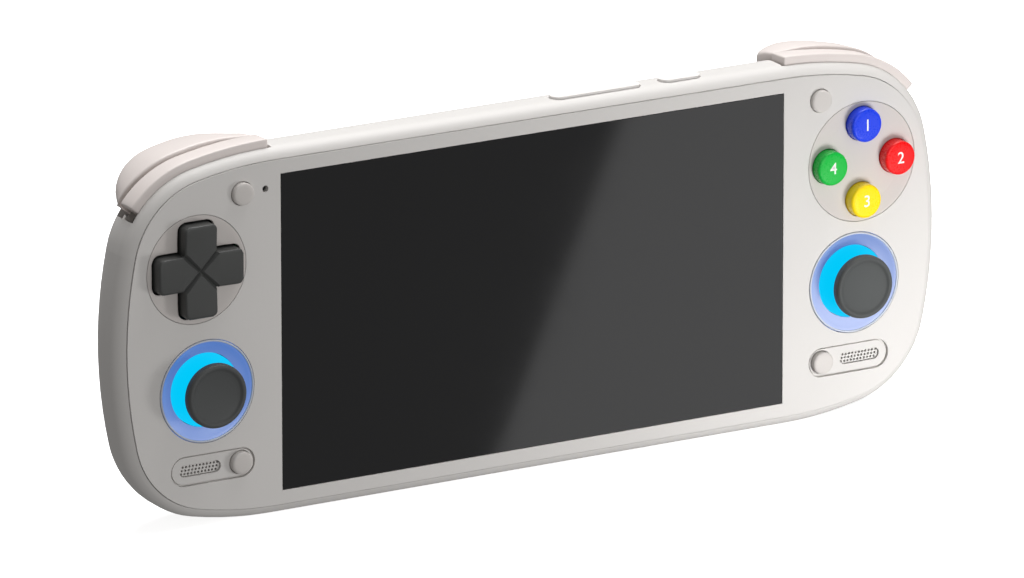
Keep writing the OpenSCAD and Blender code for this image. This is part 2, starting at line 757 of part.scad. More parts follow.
module light_ring(side) color([0.45, 0.60, 0.95, 0.8]) stand() stick_place(side) rotate_extrude() difference() {
  polygon([
    [glow_d / 2, -glow_depth - 0.6], [ring_d / 2 + 0.6, -glow_depth - 0.6], [ring_d / 2 + 0.6, -face_t - 0.02],
    [ring_d / 2, -face_t - 0.02], [ring_d / 2, 0.1], [ring_d / 2 - 0.5, 0.1], [glow_d / 2, -glow_depth]
  ]);
  translate([ring_d / 2 - 0.5, 3.6]) circle(r = 3.7);
}

module glow_disc(side) color([0.0, 0.80, 1.0]) stand() stick_place(side) difference() {
  at_depth(glow_depth, glow_depth + 0.6) circle(d = glow_d - 2 * seam);
  at_depth(0, 5) circle(r = 3.4);
}

module light_board(side) color(board_green) stand() stick_place(side) difference() {
  at_depth(glow_depth + 0.65, housing_front - 0.3) circle(r = ring_d / 2 + 0.4);
  at_depth(0, 5) circle(r = 5);
}

module left_light_ring() light_ring(-1);
module right_light_ring() light_ring(1);
module left_glow_disc() glow_disc(-1);
module right_glow_disc() glow_disc(1);
module left_light_board() light_board(-1);
module right_light_board() light_board(1);

// Sound
module speaker(side) color(black) stand() translate([side * (grille_x + 1), home_y - 0.4, 0]) {
  at_depth(face_t + 0.35, side_board_front) square([12.4, 7], center = true);
}

module grille(side) color(grey) stand() translate([side * grille_x, home_y, 0]) difference() {
  union() {
    at_depth(0.75, face_t) stadium(grille_l - 2 * seam, grille_h - 2 * seam);
    at_depth(face_t, face_t + 0.3) stadium(grille_l + 1, grille_h + 1);
  }
  for (row = [-1 : 1], column = [0 : speaker_columns - 1])
    translate([(column - (speaker_columns - 1) / 2) * 0.82 + row * 0.2, row * 0.74, 0])
      at_depth(0, 3) circle(d = speaker_hole_d, $fn = 16);
}

module left_speaker() speaker(-1);
module right_speaker() speaker(1);
module left_grille() grille(-1);
module right_grille() grille(1);

module microphone() color(steel) stand() translate([-mic_x, mic_y, 0])
  at_depth(face_t, face_t + 1.2) circle(r = 1.4);

// Top edge buttons
module edge_button(x, l) translate([x + l / 2, 0, -edge_button_depth]) rotate([-90, 0, 0]) {
  translate([0, 0, half_h - 1.75]) linear_extrude(side_swell + edge_button_out + 1.75) stadium(l, edge_button_w);
  translate([0, 0, half_h - 1.75]) linear_extrude(0.5) stadium(l + 2, edge_button_w - 0.6);
}

module volume_rocker() color(light_grey) stand() edge_button(volume_x, volume_l);
module power_button() color(light_grey) stand() edge_button(power_x, power_l);

module top_switch_board() color(board_green) stand() {
  translate([volume_x - 1, main_top, -main_board_front - board_t])
    cube([power_x + power_l - volume_x + 2.3, 1, main_board_front + board_t - frame_back - 0.1]);
  for (x = [volume_x + 3.5, volume_x + volume_l - 3.5, power_x + power_l / 2])
    translate([x - 1.6, main_top + 1, -edge_button_depth - 1.4]) cube([3.2, 1.2, 2.2]);
}

// Right shoulder: bumper and trigger, mirrored for the left
bumper_end_r = 1.6;

module bumper_end_cut() translate([bumper_x, half_h - 17.5, 0]) rotate([-90, 0, 0]) linear_extrude(30) difference() {
  translate([-2, bumper_front - 1]) square([2 + bumper_end_r, bumper_back - bumper_front + 2]);
  translate([bumper_end_r, bumper_front]) square([2, bumper_back - bumper_front]);
  translate([0, bumper_front + bumper_end_r]) square([bumper_end_r + 1, bumper_back - bumper_front - 2 * bumper_end_r]);
  for (d = [bumper_front + bumper_end_r, bumper_back - bumper_end_r]) translate([bumper_end_r, d]) circle(bumper_end_r);
}

module bumper_shape() difference() {
  union() {
    difference() {
      shoulder_sweep(bumper_end) difference() {
        rounded_section(bumper_out, bumper_front, bumper_back, 0.8, 1.2);
        translate([-core - 1, -bumper_back - 1]) square([core + 1 + bumper_in, bumper_back]);
        translate([bumper_in - 1, -bumper_back + 1.4]) square([2.4, bumper_back - bumper_front - 2.8]);
      }
      bumper_end_cut();
    }
    translate([bumper_pin_x, bumper_pin_y, 0]) at_depth(bumper_front + 0.4, bumper_back) circle(r = lug_r - 0.1);
    translate([bumper_pin_x - 1.2, bumper_pin_y, -bumper_back]) cube([2.4, 3.4, bumper_back - bumper_front - 0.4]);
  }
  translate([bumper_pin_x, bumper_pin_y, 0]) at_depth(0, 12) circle(r = pin_r + pin_play);
}

// The trigger's domed section swept along the shoulder, cut to a curved rear edge, shrunk by a wall
module trigger_body(inset) intersection() {
  shoulder_sweep(trigger_end + inset * 3) intersection() {
    rounded_section(trigger_out, trigger_front + inset, trigger_back - inset, 1.6 - inset, 1.8 - inset);
    translate([trigger_out - trigger_crown, -trigger_crest]) circle(trigger_crown - inset);
  }
  trigger_plan(inset);
}

module trigger_plan(inset) translate([trigger_centre_x, 0, trigger_sweep_r + inset - trigger_back - 0.2]) rotate([-90, 0, 0])
  cylinder(r = trigger_sweep_r - inset, h = 60);

// The front lip closes up to the bumper where the trigger's turn carries it backward
module trigger_lip() intersection() {
  shoulder_sweep(trigger_lip_end) difference() {
    rounded_section(trigger_out - 0.45, bumper_back + trigger_gap, trigger_front + 1.6, 1.4, 0);
    translate([-core - 1, -trigger_back]) square([core + 1.8, trigger_back]);
  }
  trigger_plan(0);
}

module shoulder_core(off) {
  at_depth(0, 30) {
    translate([corner_x, corner_y]) circle(r = corner_r + off, $fn = 128);
    intersection() {
      translate([top_x, top_y]) circle(r = top_r + off, $fn = 256);
      translate([top_x - 10, 0]) square([corner_x - top_x + 14, 60]);
    }
  }
}

module trigger_shape() difference() {
  union() {
    difference() {
      union() {
        trigger_body(0);
        trigger_lip();
      }
      trigger_body(trigger_wall);
      shoulder_core(trigger_in);
      translate([trigger_lug_x[0] - 0.4, half_h - 17.5, -trigger_front - 2])
        cube([trigger_lug_x[1] + trigger_lug_w - trigger_lug_x[0] + 0.8, 17.8, 4.5]);
    }
    for (x = trigger_lug_x) translate([x, trigger_pin_y, -trigger_pin_depth]) {
      rotate([0, 90, 0]) cylinder(r = lug_r, h = trigger_lug_w);
      translate([0, 0, -1]) cube([trigger_lug_w, 5.2, 2]);
    }
  }
  translate([bumper_x - 2.4, trigger_pin_y, -trigger_pin_depth]) rotate([0, 90, 0])
    cylinder(r = pin_r + pin_play, h = 20);
}

module right_bumper() color(light_grey) stand() bumper_shape();
module left_bumper() color(light_grey) stand() mirror([1, 0, 0]) bumper_shape();
module right_trigger() color(light_grey) stand() trigger_shape();
module left_trigger() color(light_grey) stand() mirror([1, 0, 0]) trigger_shape();

ear_x = trigger_lug_x[0] + trigger_lug_w + 0.2;
ear_w = trigger_lug_x[1] - trigger_lug_x[0] - trigger_lug_w - 0.4;
bracket_y = half_h - 5.9;

module shoulder_bracket() difference() {
  union() {
    translate([bumper_pin_x - 1.8, bracket_y, 0.2 - cavity_t])
      cube([ear_x + ear_w - bumper_pin_x + 1.8, 1.2, cavity_t - 8.8]);
    translate([ear_x, trigger_pin_y, -trigger_pin_depth]) rotate([0, 90, 0]) cylinder(r = 1.5, h = ear_w);
    translate([ear_x, bracket_y, -trigger_pin_depth - 1.5]) cube([ear_w, trigger_pin_y - bracket_y, 3]);
    translate([bumper_pin_x - 1.8, bracket_y, -9.5]) cube([3.6, bumper_pin_y - bracket_y + 1.1, 0.9]);
  }
  translate([bumper_x - 2.4, trigger_pin_y, -trigger_pin_depth]) rotate([0, 90, 0])
    cylinder(r = pin_r + pin_play, h = 20);
  translate([bumper_pin_x, bumper_pin_y, 0]) at_depth(0, 12) circle(r = pin_r + pin_play);
}

module shoulder_brackets() color(dark) stand() both_sides() shoulder_bracket();

module bumper_pins() color(steel) stand() both_sides() translate([bumper_pin_x, bumper_pin_y, 0])
  at_depth(bumper_front + 0.2, 9.5) circle(r = pin_r);

module trigger_pins() color(steel) stand() both_sides()
  translate([trigger_lug_x[0] - 0.2, trigger_pin_y, -trigger_pin_depth]) rotate([0, 90, 0])
    cylinder(r = pin_r, h = trigger_lug_x[1] + trigger_lug_w - trigger_lug_x[0] + 0.4);

// Ports
lower_wall_y = -half_h - side_swell + foot_cut;

module usb_socket() color(steel) stand() translate([usb_x, lower_wall_y + 0.6, -port_depth]) rotate([-90, 0, 0])
  linear_extrude(7.4) difference() {
    stadium(8.94, 3.2);
    stadium(8.34, 2.6);
  }

jack_body_w = 6;
jack_body_l = 12;

module audio_jack() color(black) stand() translate([jack_x, lower_wall_y, -jack_depth]) rotate([-90, 0, 0])
  difference() {
    union() {
      translate([0, 0, 0.4]) cylinder(r = 2.6, h = 4);
      translate([-jack_body_w / 2, -2.6, 3.6]) cube([jack_body_w, 5.2, jack_body_l - 1]);
    }
    translate([0, 0, -1]) cylinder(r = jack_r, h = 14);
  }

module card_slot() color(steel) stand() translate([card_x, lower_wall_y + 3.6, -main_board_front]) difference() {
  translate([-7, 0, 0]) cube([14, 14, 2.4]);
  translate([-5.8, -1, main_board_front - port_depth - 0.6]) cube([11.6, 13.6, 1.2]);
}

module case_screws() color(steel) stand() screw_places() difference() {
  union() {
    at_depth(7, screw_seat) circle(r = screw_r);
    at_depth(screw_seat, screw_seat + 1.2) circle(r = 1.8);
  }
  for (turn = [0, 90]) rotate([0, 0, turn]) at_depth(screw_seat + 0.5, screw_seat + 2) square([2.2, 0.5], center = true);
}

module board_screws() color(steel) stand() standoff_places() {
  at_depth(main_board_front - 2.4, main_board_front + board_t) circle(r = 0.75);
  at_depth(main_board_front + board_t, main_board_front + board_t + 0.9) circle(r = 1.5);
}

front_shell();
rear_shell();
screen_glass();
display_panel();
mid_frame();
main_board();
heat_spreader();
battery();
left_button_board();
right_button_board();
pad_plate();
pad_cap();
pad_pivot();
pad_post();
pad_mat();
cluster_plate();
upper_button();
right_button();
left_button();
lower_button();
cluster_mat();
select_button();
start_button();
home_button();
back_button();
tact_switches();
left_stick_housing();
left_stick_yoke();
left_stick_rocker();
left_stick_cap();
right_stick_housing();
right_stick_yoke();
right_stick_rocker();
right_stick_cap();
left_light_ring();
right_light_ring();
left_glow_disc();
right_glow_disc();
left_light_board();
right_light_board();
left_speaker();
right_speaker();
left_grille();
right_grille();
microphone();
volume_rocker();
power_button();
top_switch_board();
left_bumper();
right_bumper();
left_trigger();
right_trigger();
shoulder_brackets();
bumper_pins();
trigger_pins();
usb_socket();
audio_jack();
card_slot();
case_screws();
board_screws();
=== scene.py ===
import math

import bpy
from mathutils import Matrix, Vector


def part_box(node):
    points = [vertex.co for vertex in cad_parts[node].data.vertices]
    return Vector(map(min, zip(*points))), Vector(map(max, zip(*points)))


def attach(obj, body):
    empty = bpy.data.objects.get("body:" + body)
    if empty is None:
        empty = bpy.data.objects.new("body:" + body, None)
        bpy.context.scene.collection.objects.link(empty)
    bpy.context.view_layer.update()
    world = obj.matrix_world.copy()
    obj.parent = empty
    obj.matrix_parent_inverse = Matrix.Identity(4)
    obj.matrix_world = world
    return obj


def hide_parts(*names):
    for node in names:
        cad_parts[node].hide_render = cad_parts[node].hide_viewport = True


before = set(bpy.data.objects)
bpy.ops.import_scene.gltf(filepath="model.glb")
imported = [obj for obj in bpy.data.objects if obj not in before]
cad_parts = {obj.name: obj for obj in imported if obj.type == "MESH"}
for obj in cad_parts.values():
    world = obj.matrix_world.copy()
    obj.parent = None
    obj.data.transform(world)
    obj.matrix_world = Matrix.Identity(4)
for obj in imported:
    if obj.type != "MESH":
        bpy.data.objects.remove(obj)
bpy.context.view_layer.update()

MM = 0.001

# The face plane looks towards -Y; depths behind it run along +Y
FACE_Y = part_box("front_shell")[0].y

# The turn that lays a flat primitive in the plane of the face
FACING = (math.pi / 2, 0, 0)

# Points closer than this are one point
MERGE = 0.002 * MM
CAD_MERGE = 0.0005 * MM


def middle(node):
    low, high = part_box(node)
    return (low + high) / 2


# Editing helpers

def deselect():
    if bpy.context.object and bpy.context.object.mode != "OBJECT":
        bpy.ops.object.mode_set(mode="OBJECT")
    bpy.ops.object.select_all(action="DESELECT")


def pick(piece):
    deselect()
    piece.select_set(True)
    bpy.context.view_layer.objects.active = piece


def start_edit(mode="FACE"):
    bpy.ops.object.mode_set(mode="EDIT")
    bpy.ops.mesh.select_mode(type=mode)


def end_edit():
    bpy.ops.object.mode_set(mode="OBJECT")


def choose(piece, kind, test):
    """Selects the vertices, edges or faces that pass the test, and nothing else."""
    end_edit()
    mesh = piece.data
    for group in (mesh.vertices, mesh.edges, mesh.polygons):
        group.foreach_set("select", [False] * len(group))
    if kind == "VERT":
        for vertex in mesh.vertices:
            vertex.select = test(vertex.co)
    if kind == "EDGE":
        for edge in mesh.edges:
            ends = [mesh.vertices[i].co for i in edge.vertices]
            edge.select = test(ends[0], ends[1])
    if kind == "FACE":
        for face in mesh.polygons:
            face.select = test(face.center, face.normal)
    start_edit(kind)


def settle(piece, name, smooth_angle=35):
    """Names a finished piece, puts its place into its mesh and smooths its shading."""
    pick(piece)
    bpy.ops.object.transform_apply(location=True, rotation=True, scale=True)
    start_edit()
    bpy.ops.mesh.select_all(action="SELECT")
    bpy.ops.mesh.remove_doubles(threshold=MERGE)
    bpy.ops.mesh.normals_make_consistent(inside=False)
    end_edit()
    bpy.ops.object.shade_smooth_by_angle(angle=math.radians(smooth_angle))
    piece.name = name
    piece.data.name = name
    return piece


def soften(piece, width, segments, angle):
    """Rounds the sharp edges of a piece by a small bevel."""
    pick(piece)
    bevel = piece.modifiers.new("edge", "BEVEL")
    bevel.width = width
    bevel.segments = segments
    bevel.limit_method = "ANGLE"
    bevel.angle_limit = math.radians(angle)
    bevel.use_clamp_overlap = False
    bpy.ops.object.modifier_apply(modifier=bevel.name)


def cut_away(piece, cutter):
    """Takes the cutter's shape out of a piece and removes the cutter."""
    pick(piece)
    cut = piece.modifiers.new("cut", "BOOLEAN")
    cut.object = cutter
    cut.operation = "DIFFERENCE"
    cut.solver = "EXACT"
    bpy.ops.object.modifier_apply(modifier=cut.name)
    bpy.data.objects.remove(cutter)


def mirror_piece(piece, name):
    """A copy of a piece on the other side of the object's middle."""
    twin = piece.copy()
    twin.data = piece.data.copy()
    bpy.context.scene.collection.objects.link(twin)
    twin.location = (0, 0, 0)
    twin.scale = (-1, 1, 1)
    return settle(twin, name)


def cad_copy(node, name):
    """A merged copy of a CAD node's mesh."""
    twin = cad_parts[node].copy()
    twin.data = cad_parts[node].data.copy()
    twin.parent = None
    for key in list(twin.keys()):
        del twin[key]
    bpy.context.scene.collection.objects.link(twin)
    pick(twin)
    if twin.data.has_custom_normals:
        bpy.ops.mesh.customdata_custom_splitnormals_clear()
    start_edit()
    bpy.ops.mesh.select_all(action="SELECT")
    bpy.ops.mesh.remove_doubles(threshold=CAD_MERGE)
    end_edit()
    twin.name = name
    twin.data.name = name
    return twin


def turned(x, z, outline, steps=96):
    """A round piece on an axis along Y: a disc that is extruded and scaled from ring to ring.
    The outline lists (radius, depth behind the face) in millimetres."""
    deselect()
    radius, depth = outline[0]
    y = FACE_Y + depth * MM
    bpy.ops.mesh.primitive_circle_add(
        vertices=steps, radius=radius * MM, fill_type="NGON", location=(x, y, z), rotation=FACING)
    piece = bpy.context.object
    start_edit()
    bpy.ops.mesh.select_all(action="SELECT")
    for next_radius, next_depth in outline[1:]:
        bpy.ops.mesh.extrude_region_move(TRANSFORM_OT_translate={"value": (0, (next_depth - depth) * MM, 0)})
        y += (next_depth - depth) * MM
        share = max(next_radius, 0.0001) / radius
        bpy.ops.transform.resize(value=(share, 1, share), center_override=(x, y, z))
        radius, depth = max(next_radius, 0.0001), next_depth
    if radius < 0.001:
        bpy.ops.mesh.merge(type="CENTER")
    end_edit()
    return piece


def turned_ring(x, z, outline, steps=96):
    """A round piece with an open middle: a circle's edge swept through a closed outline."""
    deselect()
    radius, depth = outline[0]
    y = FACE_Y + depth * MM
    bpy.ops.mesh.primitive_circle_add(
        vertices=steps, radius=radius * MM, fill_type="NOTHING", location=(x, y, z), rotation=FACING)
    piece = bpy.context.object
    start_edit("EDGE")
    bpy.ops.mesh.select_all(action="SELECT")
    for next_radius, next_depth in outline[1:] + outline[:1]:
        bpy.ops.mesh.extrude_region_move(TRANSFORM_OT_translate={"value": (0, (next_depth - depth) * MM, 0)})
        y += (next_depth - depth) * MM
        share = next_radius / radius
        bpy.ops.transform.resize(value=(share, 1, share), center_override=(x, y, z))
        radius, depth = next_radius, next_depth
    end_edit()
    return piece


# Shared effects, as node groups. Scales are in waves per metre

SLOW_GRAIN_SCALE = 90.0
FINE_IN_HEIGHT = 0.6
CELLS_IN_HEIGHT = 0.4
TONE_SCALE = 38.0
SPECK_SCALE = 2600.0
RUBBED_SCALE = 420.0
EDGE_RADIUS = 0.25
EDGE_GAIN = 6.0


def new_group(name, inputs, outputs):
    group = bpy.data.node_groups.new(name, "ShaderNodeTree")
    for label, kind, value in inputs:
        socket = group.interface.new_socket(name=label, in_out="INPUT", socket_type=kind)
        socket.default_value = value
    for label, kind in outputs:
        group.interface.new_socket(name=label, in_out="OUTPUT", socket_type=kind)
    return group, group.nodes.new("NodeGroupInput"), group.nodes.new("NodeGroupOutput")


def math_node(tree, operation, a, b, clamp=False):
    node = tree.nodes.new("ShaderNodeMath")
    node.operation = operation
    node.use_clamp = clamp
    for index, value in enumerate((a, b)):
        if isinstance(value, (int, float)):
            node.inputs[index].default_value = value
        else:
            tree.links.new(value, node.inputs[index])
    return node.outputs[0]


def noise_node(tree, coordinates, scale, detail, roughness):
    node = tree.nodes.new("ShaderNodeTexNoise")
    tree.links.new(coordinates, node.inputs["Vector"])
    if isinstance(scale, (int, float)):
        node.inputs["Scale"].default_value = scale
    else:
        tree.links.new(scale, node.inputs["Scale"])
    node.inputs["Detail"].default_value = detail
    node.inputs["Roughness"].default_value = roughness
    return node.outputs["Fac"]


def mix_colors(tree, share, low, high):
    mix = tree.nodes.new("ShaderNodeMix")
    mix.data_type = "RGBA"
    tree.links.new(share, mix.inputs["Factor"])
    tree.links.new(low, mix.inputs[6])
    tree.links.new(high, mix.inputs[7])
    return mix.outputs[2]


def make_grain():
    """Fine pits and bumps of a moulded skin, with a matching change of roughness."""
    group, given, result = new_group("moulded grain", [
        ("Scale", "NodeSocketFloat", 3000.0),
        ("Roughness", "NodeSocketFloat", 0.5),
        ("Spread", "NodeSocketFloat", 0.1),
    ], [("Height", "NodeSocketFloat"), ("Roughness", "NodeSocketFloat")])
    place = group.nodes.new("ShaderNodeTexCoord").outputs["Object"]
    fine = noise_node(group, place, given.outputs["Scale"], 3.0, 0.6)
    cells = group.nodes.new("ShaderNodeTexVoronoi")
    group.links.new(place, cells.inputs["Vector"])
    group.links.new(given.outputs["Scale"], cells.inputs["Scale"])
    fine_part = math_node(group, "MULTIPLY", fine, FINE_IN_HEIGHT)
    cell_part = math_node(group, "MULTIPLY", cells.outputs["Distance"], CELLS_IN_HEIGHT)
    group.links.new(math_node(group, "ADD", fine_part, cell_part), result.inputs["Height"])
    slow = noise_node(group, place, SLOW_GRAIN_SCALE, 3.0, 0.6)
    half_fine = math_node(group, "MULTIPLY", fine, 0.5)
    half_slow = math_node(group, "MULTIPLY", slow, 0.5)
    both = math_node(group, "ADD", half_fine, half_slow)
    change = math_node(group, "MULTIPLY", math_node(group, "SUBTRACT", both, 0.5), given.outputs["Spread"])
    roughness = math_node(group, "ADD", given.outputs["Roughness"], change, clamp=True)
    group.links.new(roughness, result.inputs["Roughness"])
    return group


def make_drift():
    """Slow, faint change of tone over a surface, with fine specks."""
    group, given, result = new_group("tone drift", [
        ("Color", "NodeSocketColor", (0.5, 0.5, 0.5, 1)),
        ("Amount", "NodeSocketFloat", 0.05),
        ("Speck", "NodeSocketFloat", 0.03),
    ], [("Color", "NodeSocketColor")])
    place = group.nodes.new("ShaderNodeTexCoord").outputs["Object"]
    slow = math_node(group, "SUBTRACT", noise_node(group, place, TONE_SCALE, 2.0, 0.5), 0.5)
    fine = math_node(group, "SUBTRACT", noise_node(group, place, SPECK_SCALE, 2.0, 0.6), 0.5)
    change = math_node(group, "ADD", math_node(group, "MULTIPLY", slow, given.outputs["Amount"]),
                       math_node(group, "MULTIPLY", fine, given.outputs["Speck"]))
    shade = group.nodes.new("ShaderNodeHueSaturation")
    group.links.new(math_node(group, "ADD", 1.0, change), shade.inputs["Value"])
    group.links.new(given.outputs["Color"], shade.inputs["Color"])
    group.links.new(shade.outputs["Color"], result.inputs["Color"])
    return group


def make_edge_wear():
    """Edges rubbed a little lighter, broken up by noise."""
    group, given, result = new_group("edge wear", [
        ("Color", "NodeSocketColor", (0.5, 0.5, 0.5, 1)),
        ("Rubbed", "NodeSocketColor", (0.7, 0.7, 0.7, 1)),
        ("Amount", "NodeSocketFloat", 0.3),
    ], [("Color", "NodeSocketColor")])
    rounded = group.nodes.new("ShaderNodeBevel")
    rounded.samples = 4
    rounded.inputs["Radius"].default_value = EDGE_RADIUS * MM
    flat = group.nodes.new("ShaderNodeNewGeometry")
    compare = group.nodes.new("ShaderNodeVectorMath")
    compare.operation = "DOT_PRODUCT"
    group.links.new(rounded.outputs["Normal"], compare.inputs[0])
    group.links.new(flat.outputs["Normal"], compare.inputs[1])
    place = group.nodes.new("ShaderNodeTexCoord").outputs["Object"]
    patches = noise_node(group, place, RUBBED_SCALE, 3.0, 0.7)
    bend = math_node(group, "SUBTRACT", 1.0, compare.outputs["Value"])
    edge = math_node(group, "MULTIPLY", bend, EDGE_GAIN, clamp=True)
    broken = math_node(group, "MULTIPLY", edge, patches)
    mask = math_node(group, "MULTIPLY", broken, given.outputs["Amount"], clamp=True)
    color = mix_colors(group, mask, given.outputs["Color"], given.outputs["Rubbed"])
    group.links.new(color, result.inputs["Color"])
    return group


def make_painted_bowl_shade():
    """Painted shade: one colour above and another below, with a soft change over the height of a round piece.
    """
    group, given, result = new_group("painted shade in a bowl", [
        ("High", "NodeSocketColor", (0.5, 0.5, 0.5, 1)),
        ("Low", "NodeSocketColor", (0.7, 0.7, 0.7, 1)),
        ("Middle", "NodeSocketFloat", 0.0),
        ("Reach", "NodeSocketFloat", 0.01),
    ], [("Color", "NodeSocketColor")])
    split = group.nodes.new("ShaderNodeSeparateXYZ")
    group.links.new(group.nodes.new("ShaderNodeTexCoord").outputs["Object"], split.inputs[0])
    above = math_node(group, "SUBTRACT", split.outputs["Z"], given.outputs["Middle"])
    height = math_node(group, "DIVIDE", above, given.outputs["Reach"])
    share = math_node(group, "ADD", math_node(group, "MULTIPLY", height, 0.5), 0.5, clamp=True)
    color = mix_colors(group, share, given.outputs["Low"], given.outputs["High"])
    group.links.new(color, result.inputs["Color"])
    return group


GRAIN = make_grain()
DRIFT = make_drift()
WEAR = make_edge_wear()
# Painted shade for the lit rings: darker at the top of a bowl, lighter below
PAINTED_BOWL_SHADE = make_painted_bowl_shade()


def use_group(material, group, **values):
    node = material.node_tree.nodes.new("ShaderNodeGroup")
    node.node_tree = group
    for label, value in values.items():
        node.inputs[label].default_value = value
    return node


COAT_ROUGHNESS = 0.1


def finish(name, color, roughness, spread, grain, bump, depth, drift, speck, wear=0.0, rubbed=None,
           metallic=0.0, specular=0.5, coat=0.0, glow=None, glow_strength=0.0, rounding=0.0):
    """A finish for one kind of surface: tone drift and edge wear into colour, grain into roughness and bump.
    Depth is the grain's, and rounding the radius that sharp edges seem to have, in millimetres."""
    material = bpy.data.materials.new(name)
    material.use_nodes = True
    tree = material.node_tree
    shader = tree.nodes["Principled BSDF"]
    shader.inputs["Metallic"].default_value = metallic
    shader.inputs["Specular IOR Level"].default_value = specular
    shader.inputs["Coat Weight"].default_value = coat
    shader.inputs["Coat Roughness"].default_value = COAT_ROUGHNESS
    if glow:
        shader.inputs["Emission Color"].default_value = (*glow, 1)
        shader.inputs["Emission Strength"].default_value = glow_strength
    tone = use_group(material, DRIFT, Color=(*color, 1), Amount=drift, Speck=speck)
    out = tone.outputs["Color"]
    if wear:
        edges = use_group(material, WEAR, Amount=wear, Rubbed=(*rubbed, 1))
        tree.links.new(out, edges.inputs["Color"])
        out = edges.outputs["Color"]
    tree.links.new(out, shader.inputs["Base Color"])
    skin = use_group(material, GRAIN, Scale=grain, Roughness=roughness, Spread=spread)
    tree.links.new(skin.outputs["Roughness"], shader.inputs["Roughness"])
    if bump:
        relief = tree.nodes.new("ShaderNodeBump")
        relief.inputs["Strength"].default_value = bump
        relief.inputs["Distance"].default_value = depth * MM
        tree.links.new(skin.outputs["Height"], relief.inputs["Height"])
        if rounding:
            rounded = tree.nodes.new("ShaderNodeBevel")
            rounded.samples = 6
            rounded.inputs["Radius"].default_value = rounding * MM
            tree.links.new(rounded.outputs["Normal"], relief.inputs["Normal"])
        tree.links.new(relief.outputs["Normal"], shader.inputs["Normal"])
    return material


def srgb(red, green, blue):
    """A colour read as display values, turned into light values."""
    def light(value):
        value /= 255
        return value / 12.92 if value <= 0.04045 else ((value + 0.055) / 1.055) ** 2.4
    return light(red), light(green), light(blue)


FACE_GREY = srgb(213, 210, 207)
PALE = srgb(226, 221, 216)

# Pale moulded plastics of the case and its controls
face_plastic = finish(
    "face plastic", FACE_GREY, roughness=0.52, spread=0.12, grain=3200, bump=0.12, depth=0.02,
    drift=0.03, speck=0.02, wear=0.25, rubbed=PALE, rounding=0.2)
shell_plastic = finish(
    "shell plastic", FACE_GREY, roughness=0.50, spread=0.12, grain=2600, bump=0.18, depth=0.03,
    drift=0.03, speck=0.02, wear=0.25, rubbed=PALE, rounding=0.3)
shoulder_plastic = finish(
    "shoulder plastic", srgb(224, 215, 211), roughness=0.42, spread=0.14, grain=2000, bump=0.30,
    depth=0.04, drift=0.04, speck=0.03, wear=0.30, rubbed=PALE)
top_button_plastic = finish(
    "top button plastic", srgb(236, 232, 229), roughness=0.46, spread=0.12, grain=2600, bump=0.14,
    depth=0.02, drift=0.03, speck=0.02, rounding=0.2)
button_plastic = finish(
    "small button plastic", srgb(206, 201, 197), roughness=0.42, spread=0.12, grain=3200, bump=0.10,
    depth=0.02, drift=0.03, speck=0.02, wear=0.3, rubbed=PALE)
plate_plastic = finish(
    "plate plastic", srgb(204, 198, 194), roughness=0.50, spread=0.12, grain=3200, bump=0.12, depth=0.02,
    drift=0.03, speck=0.02, rounding=0.25)

# Dark plastics and rubbers
dark_plastic = finish(
    "dark plastic", srgb(66, 67, 66), roughness=0.46, spread=0.12, grain=2800, bump=0.16, depth=0.02,
    drift=0.06, speck=0.04, wear=0.35, rubbed=srgb(105, 106, 105))
inner_plastic = finish(
    "inner dark plastic", srgb(38, 38, 38), roughness=0.55, spread=0.12, grain=2400, bump=0.15,
    depth=0.03, drift=0.06, speck=0.04)
black_plastic = finish(
    "black plastic", srgb(22, 22, 23), roughness=0.50, spread=0.12, grain=2400, bump=0.15, depth=0.03,
    drift=0.06, speck=0.04)
stick_rubber = finish(
    "stick rubber", srgb(74, 76, 76), roughness=0.55, spread=0.16, grain=1900, bump=0.35, depth=0.04,
    drift=0.08, speck=0.06, wear=0.25, rubbed=srgb(100, 101, 100))
mat_rubber = finish(
    "mat rubber", srgb(126, 126, 122), roughness=0.6, spread=0.1, grain=1900, bump=0.2, depth=0.03,
    drift=0.05, speck=0.04)

# Inner metal, boards and battery
steel = finish(
    "steel", srgb(172, 172, 175), roughness=0.34, spread=0.16, grain=1400, bump=0.12, depth=0.02,
    drift=0.05, speck=0.05, metallic=1.0)
board_green = finish(
    "circuit board", srgb(22, 84, 52), roughness=0.42, spread=0.14, grain=1500, bump=0.2, depth=0.03,
    drift=0.18, speck=0.1, coat=0.5)
battery_wrap = finish(
    "battery wrap", srgb(48, 48, 56), roughness=0.35, spread=0.15, grain=700, bump=0.2, depth=0.05,
    drift=0.10, speck=0.04, coat=0.3)


def button_finish(name, color):
    """Smooth coloured plastic with a slight gloss."""
    return finish(name, color, roughness=0.28, spread=0.10, grain=2600, bump=0.05, depth=0.01, drift=0.04,
                  speck=0.02, specular=0.4, coat=0.12)


blue_plastic = button_finish("blue button", srgb(22, 62, 226))
red_plastic = button_finish("red button", srgb(240, 8, 12))
green_plastic = button_finish("green button", srgb(6, 182, 62))
yellow_plastic = button_finish("yellow button", srgb(252, 218, 0))
white_ink = finish(
    "white ink", srgb(244, 244, 240), roughness=0.40, spread=0.10, grain=2600, bump=0.05, depth=0.01,
    drift=0.03, speck=0.02)

# The lit discs and rings round the sticks
DISC_GLOW = srgb(0, 204, 252)
RING_GLOW = srgb(8, 88, 172)
# Painted shade and light on the ring bowls: the darker colour at the top, the lighter one below, changing
# over this reach in millimetres
RING_PAINTED_SHADE = srgb(124, 124, 130)
RING_PAINTED_LIGHT = srgb(188, 186, 190)
RING_REACH = 10.5
lit_disc = finish(
    "lit disc", srgb(0, 40, 70), roughness=0.5, spread=0.1, grain=2200, bump=0.05, depth=0.01,
    drift=0.03, speck=0.01, specular=0.2, glow=DISC_GLOW, glow_strength=0.97)


